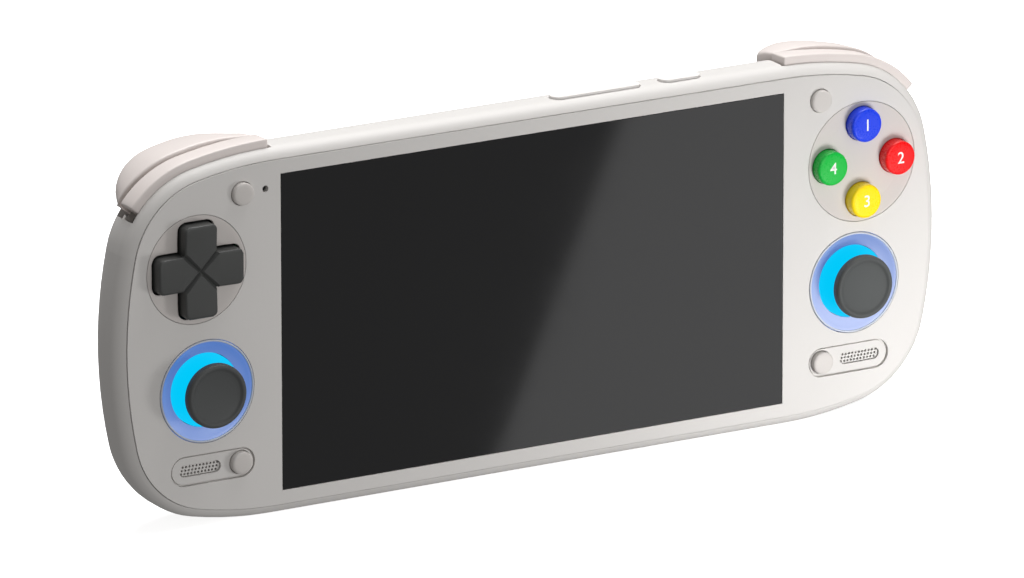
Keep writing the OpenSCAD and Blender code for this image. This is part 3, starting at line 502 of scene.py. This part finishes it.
def ring_finish(side):
    """A frosted bowl lit blue from within, with shade painted into its colour: darker under its upper edge
    and lighter below.
    """
    material = finish(
        side + " ring diffuser", RING_PAINTED_LIGHT, roughness=0.34, spread=0.12, grain=2200, bump=0.05,
        depth=0.01, drift=0.05, speck=0.02, glow=RING_GLOW, glow_strength=1.0, coat=0.2)
    # Painted shade: the bowl's colour darkens towards its top
    painted_shade = use_group(material, PAINTED_BOWL_SHADE, High=(*RING_PAINTED_SHADE, 1), Low=(*RING_PAINTED_LIGHT, 1),
                     Middle=middle(side + "_light_ring").z, Reach=RING_REACH * MM)
    tone = next(node for node in material.node_tree.nodes if node.type == "GROUP" and node.node_tree == DRIFT)
    material.node_tree.links.new(painted_shade.outputs["Color"], tone.inputs["Color"])
    return material


ring_diffusers = {"left": ring_finish("left"), "right": ring_finish("right")}
ring_lip = finish(
    "ring lip", srgb(204, 208, 218), roughness=0.34, spread=0.12, grain=2400, bump=0.08, depth=0.01,
    drift=0.03, speck=0.02, coat=0.3)

# The sleeping screen: dark cover glass over a dark display
cover_glass = finish(
    "cover glass", srgb(26, 26, 27), roughness=0.05, spread=0.05, grain=60, bump=0, depth=0, drift=0.05,
    speck=0.0)
display_panel = finish(
    "display panel", srgb(30, 30, 32), roughness=0.3, spread=0.1, grain=900, bump=0.05, depth=0.02,
    drift=0.05, speck=0.02)

# Finishes of the CAD nodes, in view or inside
FINISHES = {
    "front_shell": face_plastic, "rear_shell": shell_plastic, "screen_glass": cover_glass,
    "display_panel": display_panel, "mid_frame": steel, "main_board": board_green, "heat_spreader": steel,
    "battery": battery_wrap, "left_button_board": board_green, "right_button_board": board_green,
    "pad_plate": plate_plastic, "pad_cap": dark_plastic, "pad_pivot": steel, "pad_post": inner_plastic,
    "pad_mat": mat_rubber, "cluster_plate": plate_plastic, "upper_button": blue_plastic,
    "right_button": red_plastic, "left_button": green_plastic, "lower_button": yellow_plastic,
    "cluster_mat": mat_rubber, "select_button": button_plastic, "start_button": button_plastic,
    "home_button": button_plastic, "back_button": button_plastic, "tact_switches": black_plastic,
    "left_grille": face_plastic, "right_grille": face_plastic, "microphone": black_plastic,
    "volume_rocker": top_button_plastic, "power_button": top_button_plastic, "top_switch_board": board_green,
    "left_bumper": shoulder_plastic, "right_bumper": shoulder_plastic,
    "left_trigger": shoulder_plastic, "right_trigger": shoulder_plastic,
    "shoulder_brackets": inner_plastic, "bumper_pins": steel, "trigger_pins": steel,
    "usb_socket": steel, "audio_jack": black_plastic, "card_slot": steel,
    "case_screws": steel, "board_screws": steel,
}
for side in ("left", "right"):
    FINISHES[side + "_stick_housing"] = inner_plastic
    FINISHES[side + "_stick_yoke"] = steel
    FINISHES[side + "_stick_rocker"] = inner_plastic
    FINISHES[side + "_stick_cap"] = stick_rubber
    FINISHES[side + "_light_ring"] = ring_diffusers[side]
    FINISHES[side + "_glow_disc"] = lit_disc
    FINISHES[side + "_light_board"] = board_green
    FINISHES[side + "_speaker"] = black_plastic

for name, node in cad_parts.items():
    node.data.materials.clear()
    node.data.materials.append(FINISHES[name])


def dress(piece, material, slot, body, *nodes):
    piece.data.materials.clear()
    piece.data.materials.append(material)
    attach(piece, body)
    if nodes:
        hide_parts(*nodes)
    return piece


# Buttons on the face, in millimetres. Each is turned from its stem through its flange to its crown

BUTTON_R = 3.7
BUTTON_OUT = 2.4
BUTTON_STEM_R = 2.2
BUTTON_FLANGE = 0.45
BUTTON_FLANGE_FRONT = 0.9
BUTTON_FLANGE_BACK = 1.7

# Fine teeth round the wall of a face button, from its foot up to where its edge starts to round
TEETH = 48
TOOTH_FOOT = 0.4
TOOTH_TOP = 1.7
TOOTH_CUT = 0.15

SMALL_R = 2.45
SMALL_OUT = 1.0
SMALL_STEM_R = 1.2
SMALL_FLANGE = 0.5
SMALL_FLANGE_FRONT = 1.4
SMALL_FLANGE_BACK = 2.2
STEM_END = 3.2

# How each kind of edge rounds: how far in from the wall and how far under the crown its steps lie
BUTTON_EDGE = [(0.05, 0.38), (0.18, 0.2), (0.38, 0.08), (0.7, 0.03)]
SMALL_EDGE = [(0, 0.42), (0.06, 0.24), (0.2, 0.1), (0.45, 0.02), (0.9, -0.02)]

NUMBER_SIZE = 3.6
NUMBER_LIFT = 0.01
INK_THICK = 0.02


def stem_and_flange(radius, stem_r, flange, front, back):
    stem = [(stem_r, STEM_END), (stem_r, back)]
    return stem + [(radius + flange, back), (radius + flange, front), (radius, front)]


def edge_steps(radius, out, steps):
    return [(radius - inward, under - out) for inward, under in steps]


def face_button_outline():
    stem = stem_and_flange(BUTTON_R, BUTTON_STEM_R, BUTTON_FLANGE, BUTTON_FLANGE_FRONT, BUTTON_FLANGE_BACK)
    wall = [(BUTTON_R, depth) for depth in (TOOTH_FOOT, -0.3, -1.0, -TOOTH_TOP, -TOOTH_TOP - 0.1)]
    crown = [(BUTTON_R / 2, -BUTTON_OUT), (0, -BUTTON_OUT)]
    return stem + wall + edge_steps(BUTTON_R, BUTTON_OUT, BUTTON_EDGE) + crown


def small_button_outline():
    stem = stem_and_flange(SMALL_R, SMALL_STEM_R, SMALL_FLANGE, SMALL_FLANGE_FRONT, SMALL_FLANGE_BACK)
    crown = [(SMALL_R / 3, -SMALL_OUT - 0.04), (0, -SMALL_OUT - 0.05)]
    return stem + edge_steps(SMALL_R, SMALL_OUT, SMALL_EDGE) + crown


def cut_teeth(piece, centre):
    """Draws every other line of the wall inwards."""
    def groove(place):
        depth = (place.y - FACE_Y) / MM
        line = round(math.atan2(place.z - centre.z, place.x - centre.x) * TEETH / math.pi)
        on_wall = TOOTH_FOOT + 0.05 > depth > -TOOTH_TOP - 0.01
        return line % 2 == 0 and on_wall and (place.xz - centre.xz).length > (BUTTON_R - 0.1) * MM

    choose(piece, "VERT", groove)
    share = 1 - TOOTH_CUT / BUTTON_R
    bpy.ops.transform.resize(value=(share, 1, share), center_override=centre)
    end_edit()


def rounded_button(node, material, slot, outline, teeth=False):
    """A round button turned from its stem to its crown, in place of its solid."""
    centre = middle(node)
    piece = turned(centre.x, centre.z, outline, 2 * TEETH)
    if teeth:
        cut_teeth(piece, centre)
    return dress(settle(piece, node + "_turned"), material, slot, node, node)


def printed_number(node, digit):
    """A plain number on the crown of a face button."""
    centre = middle(node)
    crown = FACE_Y - (BUTTON_OUT + NUMBER_LIFT) * MM
    deselect()
    bpy.ops.object.text_add(location=(centre.x, crown, centre.z), rotation=FACING)
    words = bpy.context.object
    words.data.body = digit
    words.data.size = NUMBER_SIZE * MM
    words.data.extrude = INK_THICK * MM
    words.data.offset = INK_THICK * MM
    words.data.align_x = "CENTER"
    words.data.align_y = "CENTER"
    words.data.resolution_u = 6
    bpy.ops.object.convert(target="MESH")
    piece = settle(bpy.context.object, node + "_number")
    return dress(piece, white_ink, "face_plastic", node)


FACE_BUTTONS = [
    ("upper_button", blue_plastic, "blue_plastic", "1"),
    ("right_button", red_plastic, "red_plastic", "2"),
    ("lower_button", yellow_plastic, "yellow_plastic", "3"),
    ("left_button", green_plastic, "green_plastic", "4"),
]
for node, material, slot, digit in FACE_BUTTONS:
    rounded_button(node, material, slot, face_button_outline(), teeth=True)
    printed_number(node, digit)
for node in ("select_button", "start_button", "home_button", "back_button"):
    rounded_button(node, button_plastic, "face_plastic", small_button_outline())


# Thumb sticks and light rings, as lists of (radius, depth behind the face) in millimetres

STICK_NECK = [(1.3, 7.4), (1.3, -0.6), (2.4, -1.3), (3.6, -2.2)]
STICK_SKIRT = [(5.9, -2.35), (6.45, -2.5), (6.8, -2.8), (6.92, -3.2)]
STICK_RIM = [
    (6.92, -4.1), (6.84, -4.48), (6.64, -4.74), (6.36, -4.87), (6.06, -4.86), (5.82, -4.73), (5.64, -4.53),
]
STICK_HOLLOW = [(5.3, -4.4), (4.5, -4.26), (3.4, -4.12), (2.3, -4.02), (1.2, -3.96), (0, -3.94)]
STICK_OUTLINE = STICK_NECK + STICK_SKIRT + STICK_RIM + STICK_HOLLOW

RING_FLANGE = [(8.0, 1.8), (11.7, 1.8), (11.7, 1.34), (11.06, 1.34)]
RING_BOWL = [
    (10.62, 0.12), (10.4, 0.16), (10.1, 0.34), (9.7, 0.6), (9.2, 0.84), (8.7, 1.02), (8.3, 1.13), (8.0, 1.2),
]
RING_OUTLINE = RING_FLANGE + RING_BOWL
LIP_OUTLINE = [
    (10.66, 0.5), (11.06, 0.5), (11.06, 0.02), (11.0, -0.12), (10.86, -0.18), (10.72, -0.14), (10.64, -0.02),
]
for side in ("left", "right"):
    centre = middle(side + "_stick_cap")
    cap = settle(turned(centre.x, centre.z, STICK_OUTLINE), side + "_stick_top")
    dress(cap, stick_rubber, "stick_rubber", side + "_stick_cap", side + "_stick_cap")
    centre = middle(side + "_light_ring")
    bowl = settle(turned_ring(centre.x, centre.z, RING_OUTLINE), side + "_ring_bowl")
    dress(bowl, ring_diffusers[side], "ring_diffuser", "case", side + "_light_ring")
    lip = settle(turned_ring(centre.x, centre.z, LIP_OUTLINE), side + "_ring_lip")
    dress(lip, ring_lip, "ring_diffuser", "case", side + "_light_ring")


# Shoulders: a bumper and a domed trigger, each drawn along the case's own outline and mirrored.
# Sizes are in millimetres, angles in degrees from the +X axis

# The outline's two arcs: middle (right, up from the middle of the face) and radius, and where they meet
TOP_ARC = (61.88, -50.112, 87.612)
CORNER_ARC = (76.6, 16.8, 19.1)
MEET_ANGLE = 77.59
FACE_MIDDLE_Z = 39.35 * MM

# Greatest length of one step of a sweep, and how near a point must be to count as at a place
SWEEP_STEP = 1.1
NEAR = 0.01 * MM
NEAR_SECTION = 0.05 * MM

# With no window a turn goes the other way, so a turn towards the right side has this sign
TURN_SIGN = -1

# Where each piece starts across, where it ends round the corner, and its section: depths behind the face
# and distances outside the outline
BUMPER_START, BUMPER_END = 62.5, 38
BUMPER_FRONT, BUMPER_BACK, BUMPER_OUT, BUMPER_IN = 2.5, 7.85, 4.0, -0.9
BUMPER_SLOPE = [(BUMPER_BACK, 0.25)]
TRIGGER_START, TRIGGER_END = 62.9, 36.5
TRIGGER_FRONT, TRIGGER_BACK, TRIGGER_OUT, TRIGGER_IN = 8.35, 19.9, 3.5, -1.2
TRIGGER_SLOPE = [(14, 0.5), (17, 1.05), (TRIGGER_BACK, 1.75)]

# Rounding of the edges: its width, and the angle past which an edge is sharp
BUMPER_SOFT, TRIGGER_SOFT, SHARP = 0.38, 0.6, 40

# The trigger's rear edge is deepest at one place across and draws in to its least depth over these lengths,
# first slowly and then fast
DEEPEST_AT, INNER_LENGTH, OUTER_LENGTH = 80, 18.4, 14.4
LEAST_DEPTH, DRAW_POWER, ROUND_POWER = 2.4, 2.9, 0.55

# How far the trigger's outer side stands out, in millimetres more than its section, at places across
CROWN = [
    (62.5, 0.0), (66, 0.25), (70, 0.75), (75, 1.0), (80, 0.95),
    (84, 0.85), (87.5, 0.6), (90, 0.3), (92, -0.2),
]

# Below its pin the trigger's front is drawn back by this share of how far it hangs
PIN_Z = middle("trigger_pins").z
FRONT_LEAN = 0.21


def along_shoulder(start_x, end_angle):
    """The turns that carry a section along the top arc and then round the corner arc."""
    start = math.degrees(math.acos((start_x - TOP_ARC[0]) / TOP_ARC[2]))
    first = max(2, round(math.radians(start - MEET_ANGLE) * TOP_ARC[2] / SWEEP_STEP))
    second = max(2, round(math.radians(MEET_ANGLE - end_angle) * CORNER_ARC[2] / SWEEP_STEP))
    turns = [(TOP_ARC, (start - MEET_ANGLE) / first)] * first
    return start, turns + [(CORNER_ARC, (MEET_ANGLE - end_angle) / second)] * second


def turn_section(arc, degrees):
    bpy.ops.transform.rotate(value=TURN_SIGN * math.radians(degrees), orient_axis="Y",
                             center_override=(arc[0] * MM, 0, FACE_MIDDLE_Z + arc[1] * MM))


def shoulder_section(low, high, front, back, slope):
    """The flat section that is swept, standing at the middle of the top arc."""
    top = FACE_MIDDLE_Z + (TOP_ARC[1] + TOP_ARC[2] + high) * MM
    height = FACE_MIDDLE_Z + (TOP_ARC[1] + TOP_ARC[2] + (low + high) / 2) * MM
    deselect()
    place = (TOP_ARC[0] * MM, FACE_Y + (front + back) / 2 * MM, height)
    bpy.ops.mesh.primitive_plane_add(size=1, location=place, rotation=(0, math.pi / 2, 0))
    piece = bpy.context.object
    piece.scale = ((high - low) * MM, (back - front) * MM, 1)
    bpy.ops.object.transform_apply(location=True, rotation=True, scale=True)
    start_edit()
    for depth, _ in slope[:-1]:
        bpy.ops.mesh.select_all(action="SELECT")
        bpy.ops.mesh.bisect(plane_co=(0, FACE_Y + depth * MM, 0), plane_no=(0, 1, 0))
    for depth, drop in slope:
        line = FACE_Y + depth * MM
        choose(piece, "VERT", lambda place: abs(place.y - line) < NEAR and place.z > top - NEAR)
        bpy.ops.transform.translate(value=(0, 0, -drop * MM))
    end_edit()
    return piece


def sweep_shoulder(start_x, end_angle, low, high, front, back, slope, reach):
    """A section from low to high outside the outline and from front to back behind the face, swept along the
    shoulder. Slope lists (depth, drop) for its outer side; reach gives its depth at a place across.
    Also returns each section's arc and angle."""
    start, turns = along_shoulder(start_x, end_angle)
    piece = shoulder_section(low, high, front, back, slope)

    def deepen(now, across):
        """Scales the selected section from its front to the depth that it has at a place across."""
        wanted = reach(across) - front
        bpy.ops.transform.resize(value=(1, wanted / now, 1), center_override=(0, FACE_Y + front * MM, 0))
        return wanted

    start_edit()
    bpy.ops.mesh.select_all(action="SELECT")
    turn_section(TOP_ARC, 90 - start)
    now = deepen(back - front, start_x)
    arrived = start
    sections = [(TOP_ARC, start)]
    for arc, turn in turns:
        bpy.ops.mesh.extrude_region_move()
        turn_section(arc, turn)
        arrived -= turn
        sections.append((arc, arrived))
        now = deepen(now, arc[0] + (arc[2] + high) * math.cos(math.radians(arrived)))
    end_edit()
    return piece, sections


def trigger_reach(across):
    """Depth of the trigger's rear edge: deepest above the corner, drawn in to a point at its inner end."""
    share = (across - DEEPEST_AT) / (INNER_LENGTH if across < DEEPEST_AT else OUTER_LENGTH)
    rest = max(0.0, 1 - abs(share) ** DRAW_POWER) ** ROUND_POWER
    return TRIGGER_FRONT + LEAST_DEPTH + (TRIGGER_BACK - TRIGGER_FRONT - LEAST_DEPTH) * rest


def crown_rise(across):
    """The trigger stands highest a little way from its inner end and falls back to its outer end."""
    for (near, low), (far, high) in zip(CROWN, CROWN[1:]):
        if across <= far:
            share = max(0.0, (across - near) / (far - near))
            return low + (high - low) * share
    return CROWN[-1][1]


def shape_trigger(piece, sections):
    """Moves the outer side of each section away from the case by the crown's rise at its place across, and
    draws its front back where it hangs below the pin, away from the bumper when the trigger is pulled."""
    for arc, angle in sections:
        outward = Vector((math.cos(math.radians(angle)), 0, math.sin(math.radians(angle))))
        sideways = Vector((-outward.z, 0, outward.x))
        pivot = Vector((arc[0] * MM, 0, FACE_MIDDLE_Z + arc[1] * MM))

        def in_section(place):
            return abs((place - pivot).dot(sideways)) < NEAR_SECTION

        def outside(place):
            return in_section(place) and (place - pivot).dot(outward) > (arc[2] + 0.2) * MM

        choose(piece, "VERT", outside)
        bpy.ops.transform.translate(value=outward * crown_rise(arc[0] + arc[2] * outward.x) * MM)
        hang = PIN_Z - (pivot + outward * (arc[2] - 1) * MM).z
        if hang > 0:
            front = FACE_Y + (TRIGGER_FRONT + 0.1) * MM
            choose(piece, "VERT", lambda place: in_section(place) and place.y < front)
            bpy.ops.transform.translate(value=(0, FRONT_LEAN * hang, 0))
    end_edit()


bumper = sweep_shoulder(BUMPER_START, BUMPER_END, BUMPER_IN, BUMPER_OUT, BUMPER_FRONT, BUMPER_BACK,
                        BUMPER_SLOPE, lambda across: BUMPER_BACK)[0]
soften(bumper, BUMPER_SOFT * MM, 3, SHARP)
settle(bumper, "right_bumper_shell", 40)
mirror_piece(bumper, "left_bumper_shell")
trigger, sections = sweep_shoulder(TRIGGER_START, TRIGGER_END, TRIGGER_IN, TRIGGER_OUT, TRIGGER_FRONT,
                                   TRIGGER_BACK, TRIGGER_SLOPE, trigger_reach)
shape_trigger(trigger, sections)
soften(trigger, TRIGGER_SOFT * MM, 4, SHARP)
settle(trigger, "right_trigger_shell", 40)
mirror_piece(trigger, "left_trigger_shell")
for side in ("left", "right"):
    for kind in ("bumper", "trigger"):
        node = side + "_" + kind
        dress(bpy.data.objects[node + "_shell"], shoulder_plastic, "shell_plastic", node, node)


# Direction pad: a cross drawn out of a block, with soft edges and two creases from corner to corner.
# Sizes are in millimetres

# Length and half width of an arm, height over the face and depth of the back
PAD_ARM, PAD_HALF, PAD_OUT, PAD_BACK = 10.0, 3.8, 2.5, 2.3

# Radius of an arm's corners, how far its end bows out, and the room round the cross in its plate
PAD_CORNER, PAD_BOW, PAD_GAP = 1.1, 0.12, 0.5

# How far the front slopes down to its middle, and the shares of it at the arms' feet and from there on
PAD_DIP, FOOT_SHARE, MIDDLE_SHARE = 0.45, 0.55, 0.45

# Softness of the outer edges, and the bars that cut the creases
PAD_SOFT = 0.6
CREASE, CREASE_LENGTH = 0.66, 11.0
FLANGE_OUTLINE = [(2.6, 3.45), (10.3, 3.4), (10.4, 3.3), (10.4, 2.3), (10.2, 2.2), (0, 2.2)]
OPENING_FRONT, OPENING_BACK = -1, 4.4


def cross_block(grow, front, back):
    """A plain cross with round corners and slightly bowed ends, grown all round and from front to back."""
    centre = middle("pad_cap")
    half = PAD_HALF + grow
    arm_end = PAD_ARM - PAD_BOW
    deselect()
    bpy.ops.mesh.primitive_cube_add(size=1, location=(centre.x, FACE_Y + (front + back) / 2 * MM, centre.z),
                                    scale=(2 * half * MM, (back - front) * MM, 2 * half * MM))
    cross = bpy.context.object
    bpy.ops.object.transform_apply(location=True, rotation=True, scale=True)

    def from_middle(point):
        return abs(point.x - centre.x) / MM, abs(point.z - centre.z) / MM

    directions = (Vector((1, 0, 0)), Vector((-1, 0, 0)), Vector((0, 0, 1)), Vector((0, 0, -1)))
    for along in directions:
        choose(
            cross, "FACE", lambda place, normal: normal.dot(along) > 0.99 and min(from_middle(place)) < 0.1)
        reach = along * (arm_end - PAD_HALF) * MM
        bpy.ops.mesh.extrude_region_move(TRANSFORM_OT_translate={"value": reach})
        end_edit()

    def arm_corner(a, b):
        return abs(a.y - b.y) > 1 * MM and max(from_middle((a + b) / 2)) > half + 1

    choose(cross, "EDGE", arm_corner)
    bpy.ops.mesh.bevel(offset=(PAD_CORNER + grow) * MM, segments=5, affect="EDGES")
    for along in directions:
        choose(cross, "VERT", lambda place: (place - centre).dot(along) > (arm_end + grow - 0.05) * MM)
        bpy.ops.transform.translate(value=along * PAD_BOW * MM)
    end_edit()
    return cross, from_middle


def direction_pad():
    cross, from_middle = cross_block(0, -PAD_OUT, PAD_BACK)
    front = FACE_Y - PAD_OUT * MM
    # The front slopes down to the middle
    choose(cross, "FACE", lambda place, normal: normal.y < -0.9 and max(from_middle(place)) < 1)
    bpy.ops.mesh.poke()
    foot = PAD_HALF + 0.1
    choose(cross, "VERT", lambda place: place.y < front + 0.1 * MM and max(from_middle(place)) < foot)
    bpy.ops.transform.translate(value=(0, FOOT_SHARE * PAD_DIP * MM, 0))
    choose(cross, "VERT", lambda place: place.y < front + 1 * MM and max(from_middle(place)) < 0.5)
    bpy.ops.transform.translate(value=(0, MIDDLE_SHARE * PAD_DIP * MM, 0))

    def outer_edge(a, b):
        across, up = from_middle((a + b) / 2)
        if a.y > front + 1 * MM or b.y > front + 1 * MM:
            return False
        on_foot = min(across, up) < 0.1 and max(across, up) < PAD_ARM - 0.2
        return not on_foot and abs(across - up) > 0.1

    choose(cross, "EDGE", outer_edge)
    bpy.ops.mesh.bevel(offset=PAD_SOFT * MM, segments=4, affect="EDGES", profile=0.55)
    end_edit()
    # Each crease is cut by a square bar laid on its edge from corner to corner
    centre = middle("pad_cap")
    for lean in (math.pi / 4, -math.pi / 4):
        deselect()
        bpy.ops.mesh.primitive_cylinder_add(
            vertices=4, radius=CREASE * MM, depth=CREASE_LENGTH * MM,
            location=(centre.x, front + FOOT_SHARE * PAD_DIP * MM, centre.z), rotation=(0, lean, 0))
        cut_away(cross, bpy.context.object)
    return cross


def pad_surround():
    """The pad's plate, opened a little wider round the cross."""
    plate = cad_copy("pad_plate", "pad_surround")
    cut_away(plate, cross_block(PAD_GAP, OPENING_FRONT, OPENING_BACK)[0])
    return settle(plate, "pad_surround", 30)


cross = settle(direction_pad(), "pad_cross", 30)
dress(cross, dark_plastic, "dark_plastic", "pad_cap", "pad_cap")
dress(pad_surround(), plate_plastic, "face_plastic", "case", "pad_plate")
base = middle("pad_cap")
flange = settle(turned(base.x, base.z, FLANGE_OUTLINE), "pad_flange")
dress(flange, inner_plastic, "dark_plastic", "pad_cap", "pad_cap")


# Stage: a plain floor that only the camera sees, soft lights and a plain world

FLOOR_SIZE = 12
FLOOR_GLOW = 0.75

# The card's left edge lies where the border of the reflection asks for it
CARD_PLACE = (0.436, FACE_Y - 0.5, -0.193)
CARD_TURN = math.radians(23.8)
CARD_SIZE = 0.3
CARD_GLOW = 1.3

AIR_TINT = (1, 0.993, 0.985, 1)
AIR_STRENGTH = 0.25


def area_light(name, place, aim, size, power):
    light = bpy.data.lights.new(name, "AREA")
    light.shape = "RECTANGLE"
    light.size, light.size_y = size
    light.energy = power
    lamp = bpy.data.objects.new(name, light)
    bpy.context.scene.collection.objects.link(lamp)
    lamp.location = place
    lamp.rotation_euler = (Vector(aim) - Vector(place)).to_track_quat("-Z", "Y").to_euler()
    return lamp


def glowing_paper(name, shade, strength):
    """A plain surface with a glow of its own; returns the material and its shader."""
    paper = bpy.data.materials.new(name)
    paper.use_nodes = True
    shader = paper.node_tree.nodes["Principled BSDF"]
    shader.inputs["Base Color"].default_value = (shade, shade, shade, 1)
    shader.inputs["Emission Color"].default_value = (1, 1, 1, 1)
    shader.inputs["Emission Strength"].default_value = strength
    return paper, shader


def make_floor():
    deselect()
    bpy.ops.mesh.primitive_plane_add(size=FLOOR_SIZE, location=(0, 0, 0))
    floor = bpy.context.object
    floor.name = "floor"
    paper, shader = glowing_paper("floor paper", 0.9, FLOOR_GLOW)
    shader.inputs["Roughness"].default_value = 0.9
    shader.inputs["Specular IOR Level"].default_value = 0.0
    floor.data.materials.append(paper)
    floor.visible_diffuse = False
    floor.visible_glossy = False
    floor.visible_transmission = False
    floor.visible_shadow = False


def make_screen_card():
    """A pale card that only shows as the reflection on the right part of the glass."""
    deselect()
    bpy.ops.mesh.primitive_plane_add(size=1, location=CARD_PLACE, rotation=(math.pi / 2, CARD_TURN, 0))
    card = bpy.context.object
    card.scale = (CARD_SIZE, CARD_SIZE, 1)
    card.name = "reflection card"
    card.data.materials.append(glowing_paper("card glow", 0, CARD_GLOW)[0])
    card.visible_camera = False
    card.visible_diffuse = False
    card.visible_shadow = False


make_floor()
make_screen_card()
key = area_light("key softbox", place=(0.113, FACE_Y - 0.127, -0.008), aim=(0.09, 0, 0.03), size=(0.05, 0.05),
                 power=0.18)
key.visible_glossy = False
area_light("front softbox", place=(0.05, -1.10, 0.22), aim=(0.0, 0, 0.04), size=(0.6, 0.6), power=2.45)
area_light("top softbox", place=(0.12, 0.12, 0.75), aim=(0, 0, 0.06), size=(0.7, 0.5), power=7.1)

world = bpy.data.worlds.new("studio air")
bpy.context.scene.world = world
world.use_nodes = True
world.node_tree.nodes["Background"].inputs["Color"].default_value = AIR_TINT
world.node_tree.nodes["Background"].inputs["Strength"].default_value = AIR_STRENGTH

bpy.context.scene.view_settings.view_transform = "Standard"
bpy.context.scene.view_settings.look = "None"

# Camera: a long lens, well to the left of the object and a little above it
SENSOR_WIDTH = 36
LENS = 442.6
EYE_PLACE = (-1.27626, FACE_Y - 2.19091, 0.79393)
LOOK = Vector((0.48087, 0.82914, -0.28514))
RIGHT = Vector((0.864918, -0.501912, -0.000852))

eye = bpy.data.cameras.new("camera")
eye.sensor_width = SENSOR_WIDTH
eye.lens = LENS
eye.clip_start = 0.1
eye.clip_end = 60
camera = bpy.data.objects.new("camera", eye)
bpy.context.scene.collection.objects.link(camera)
turn = Matrix((RIGHT, RIGHT.cross(LOOK), -LOOK)).transposed()
camera.matrix_world = Matrix.Translation(EYE_PLACE) @ turn.to_4x4()
bpy.context.scene.camera = camera
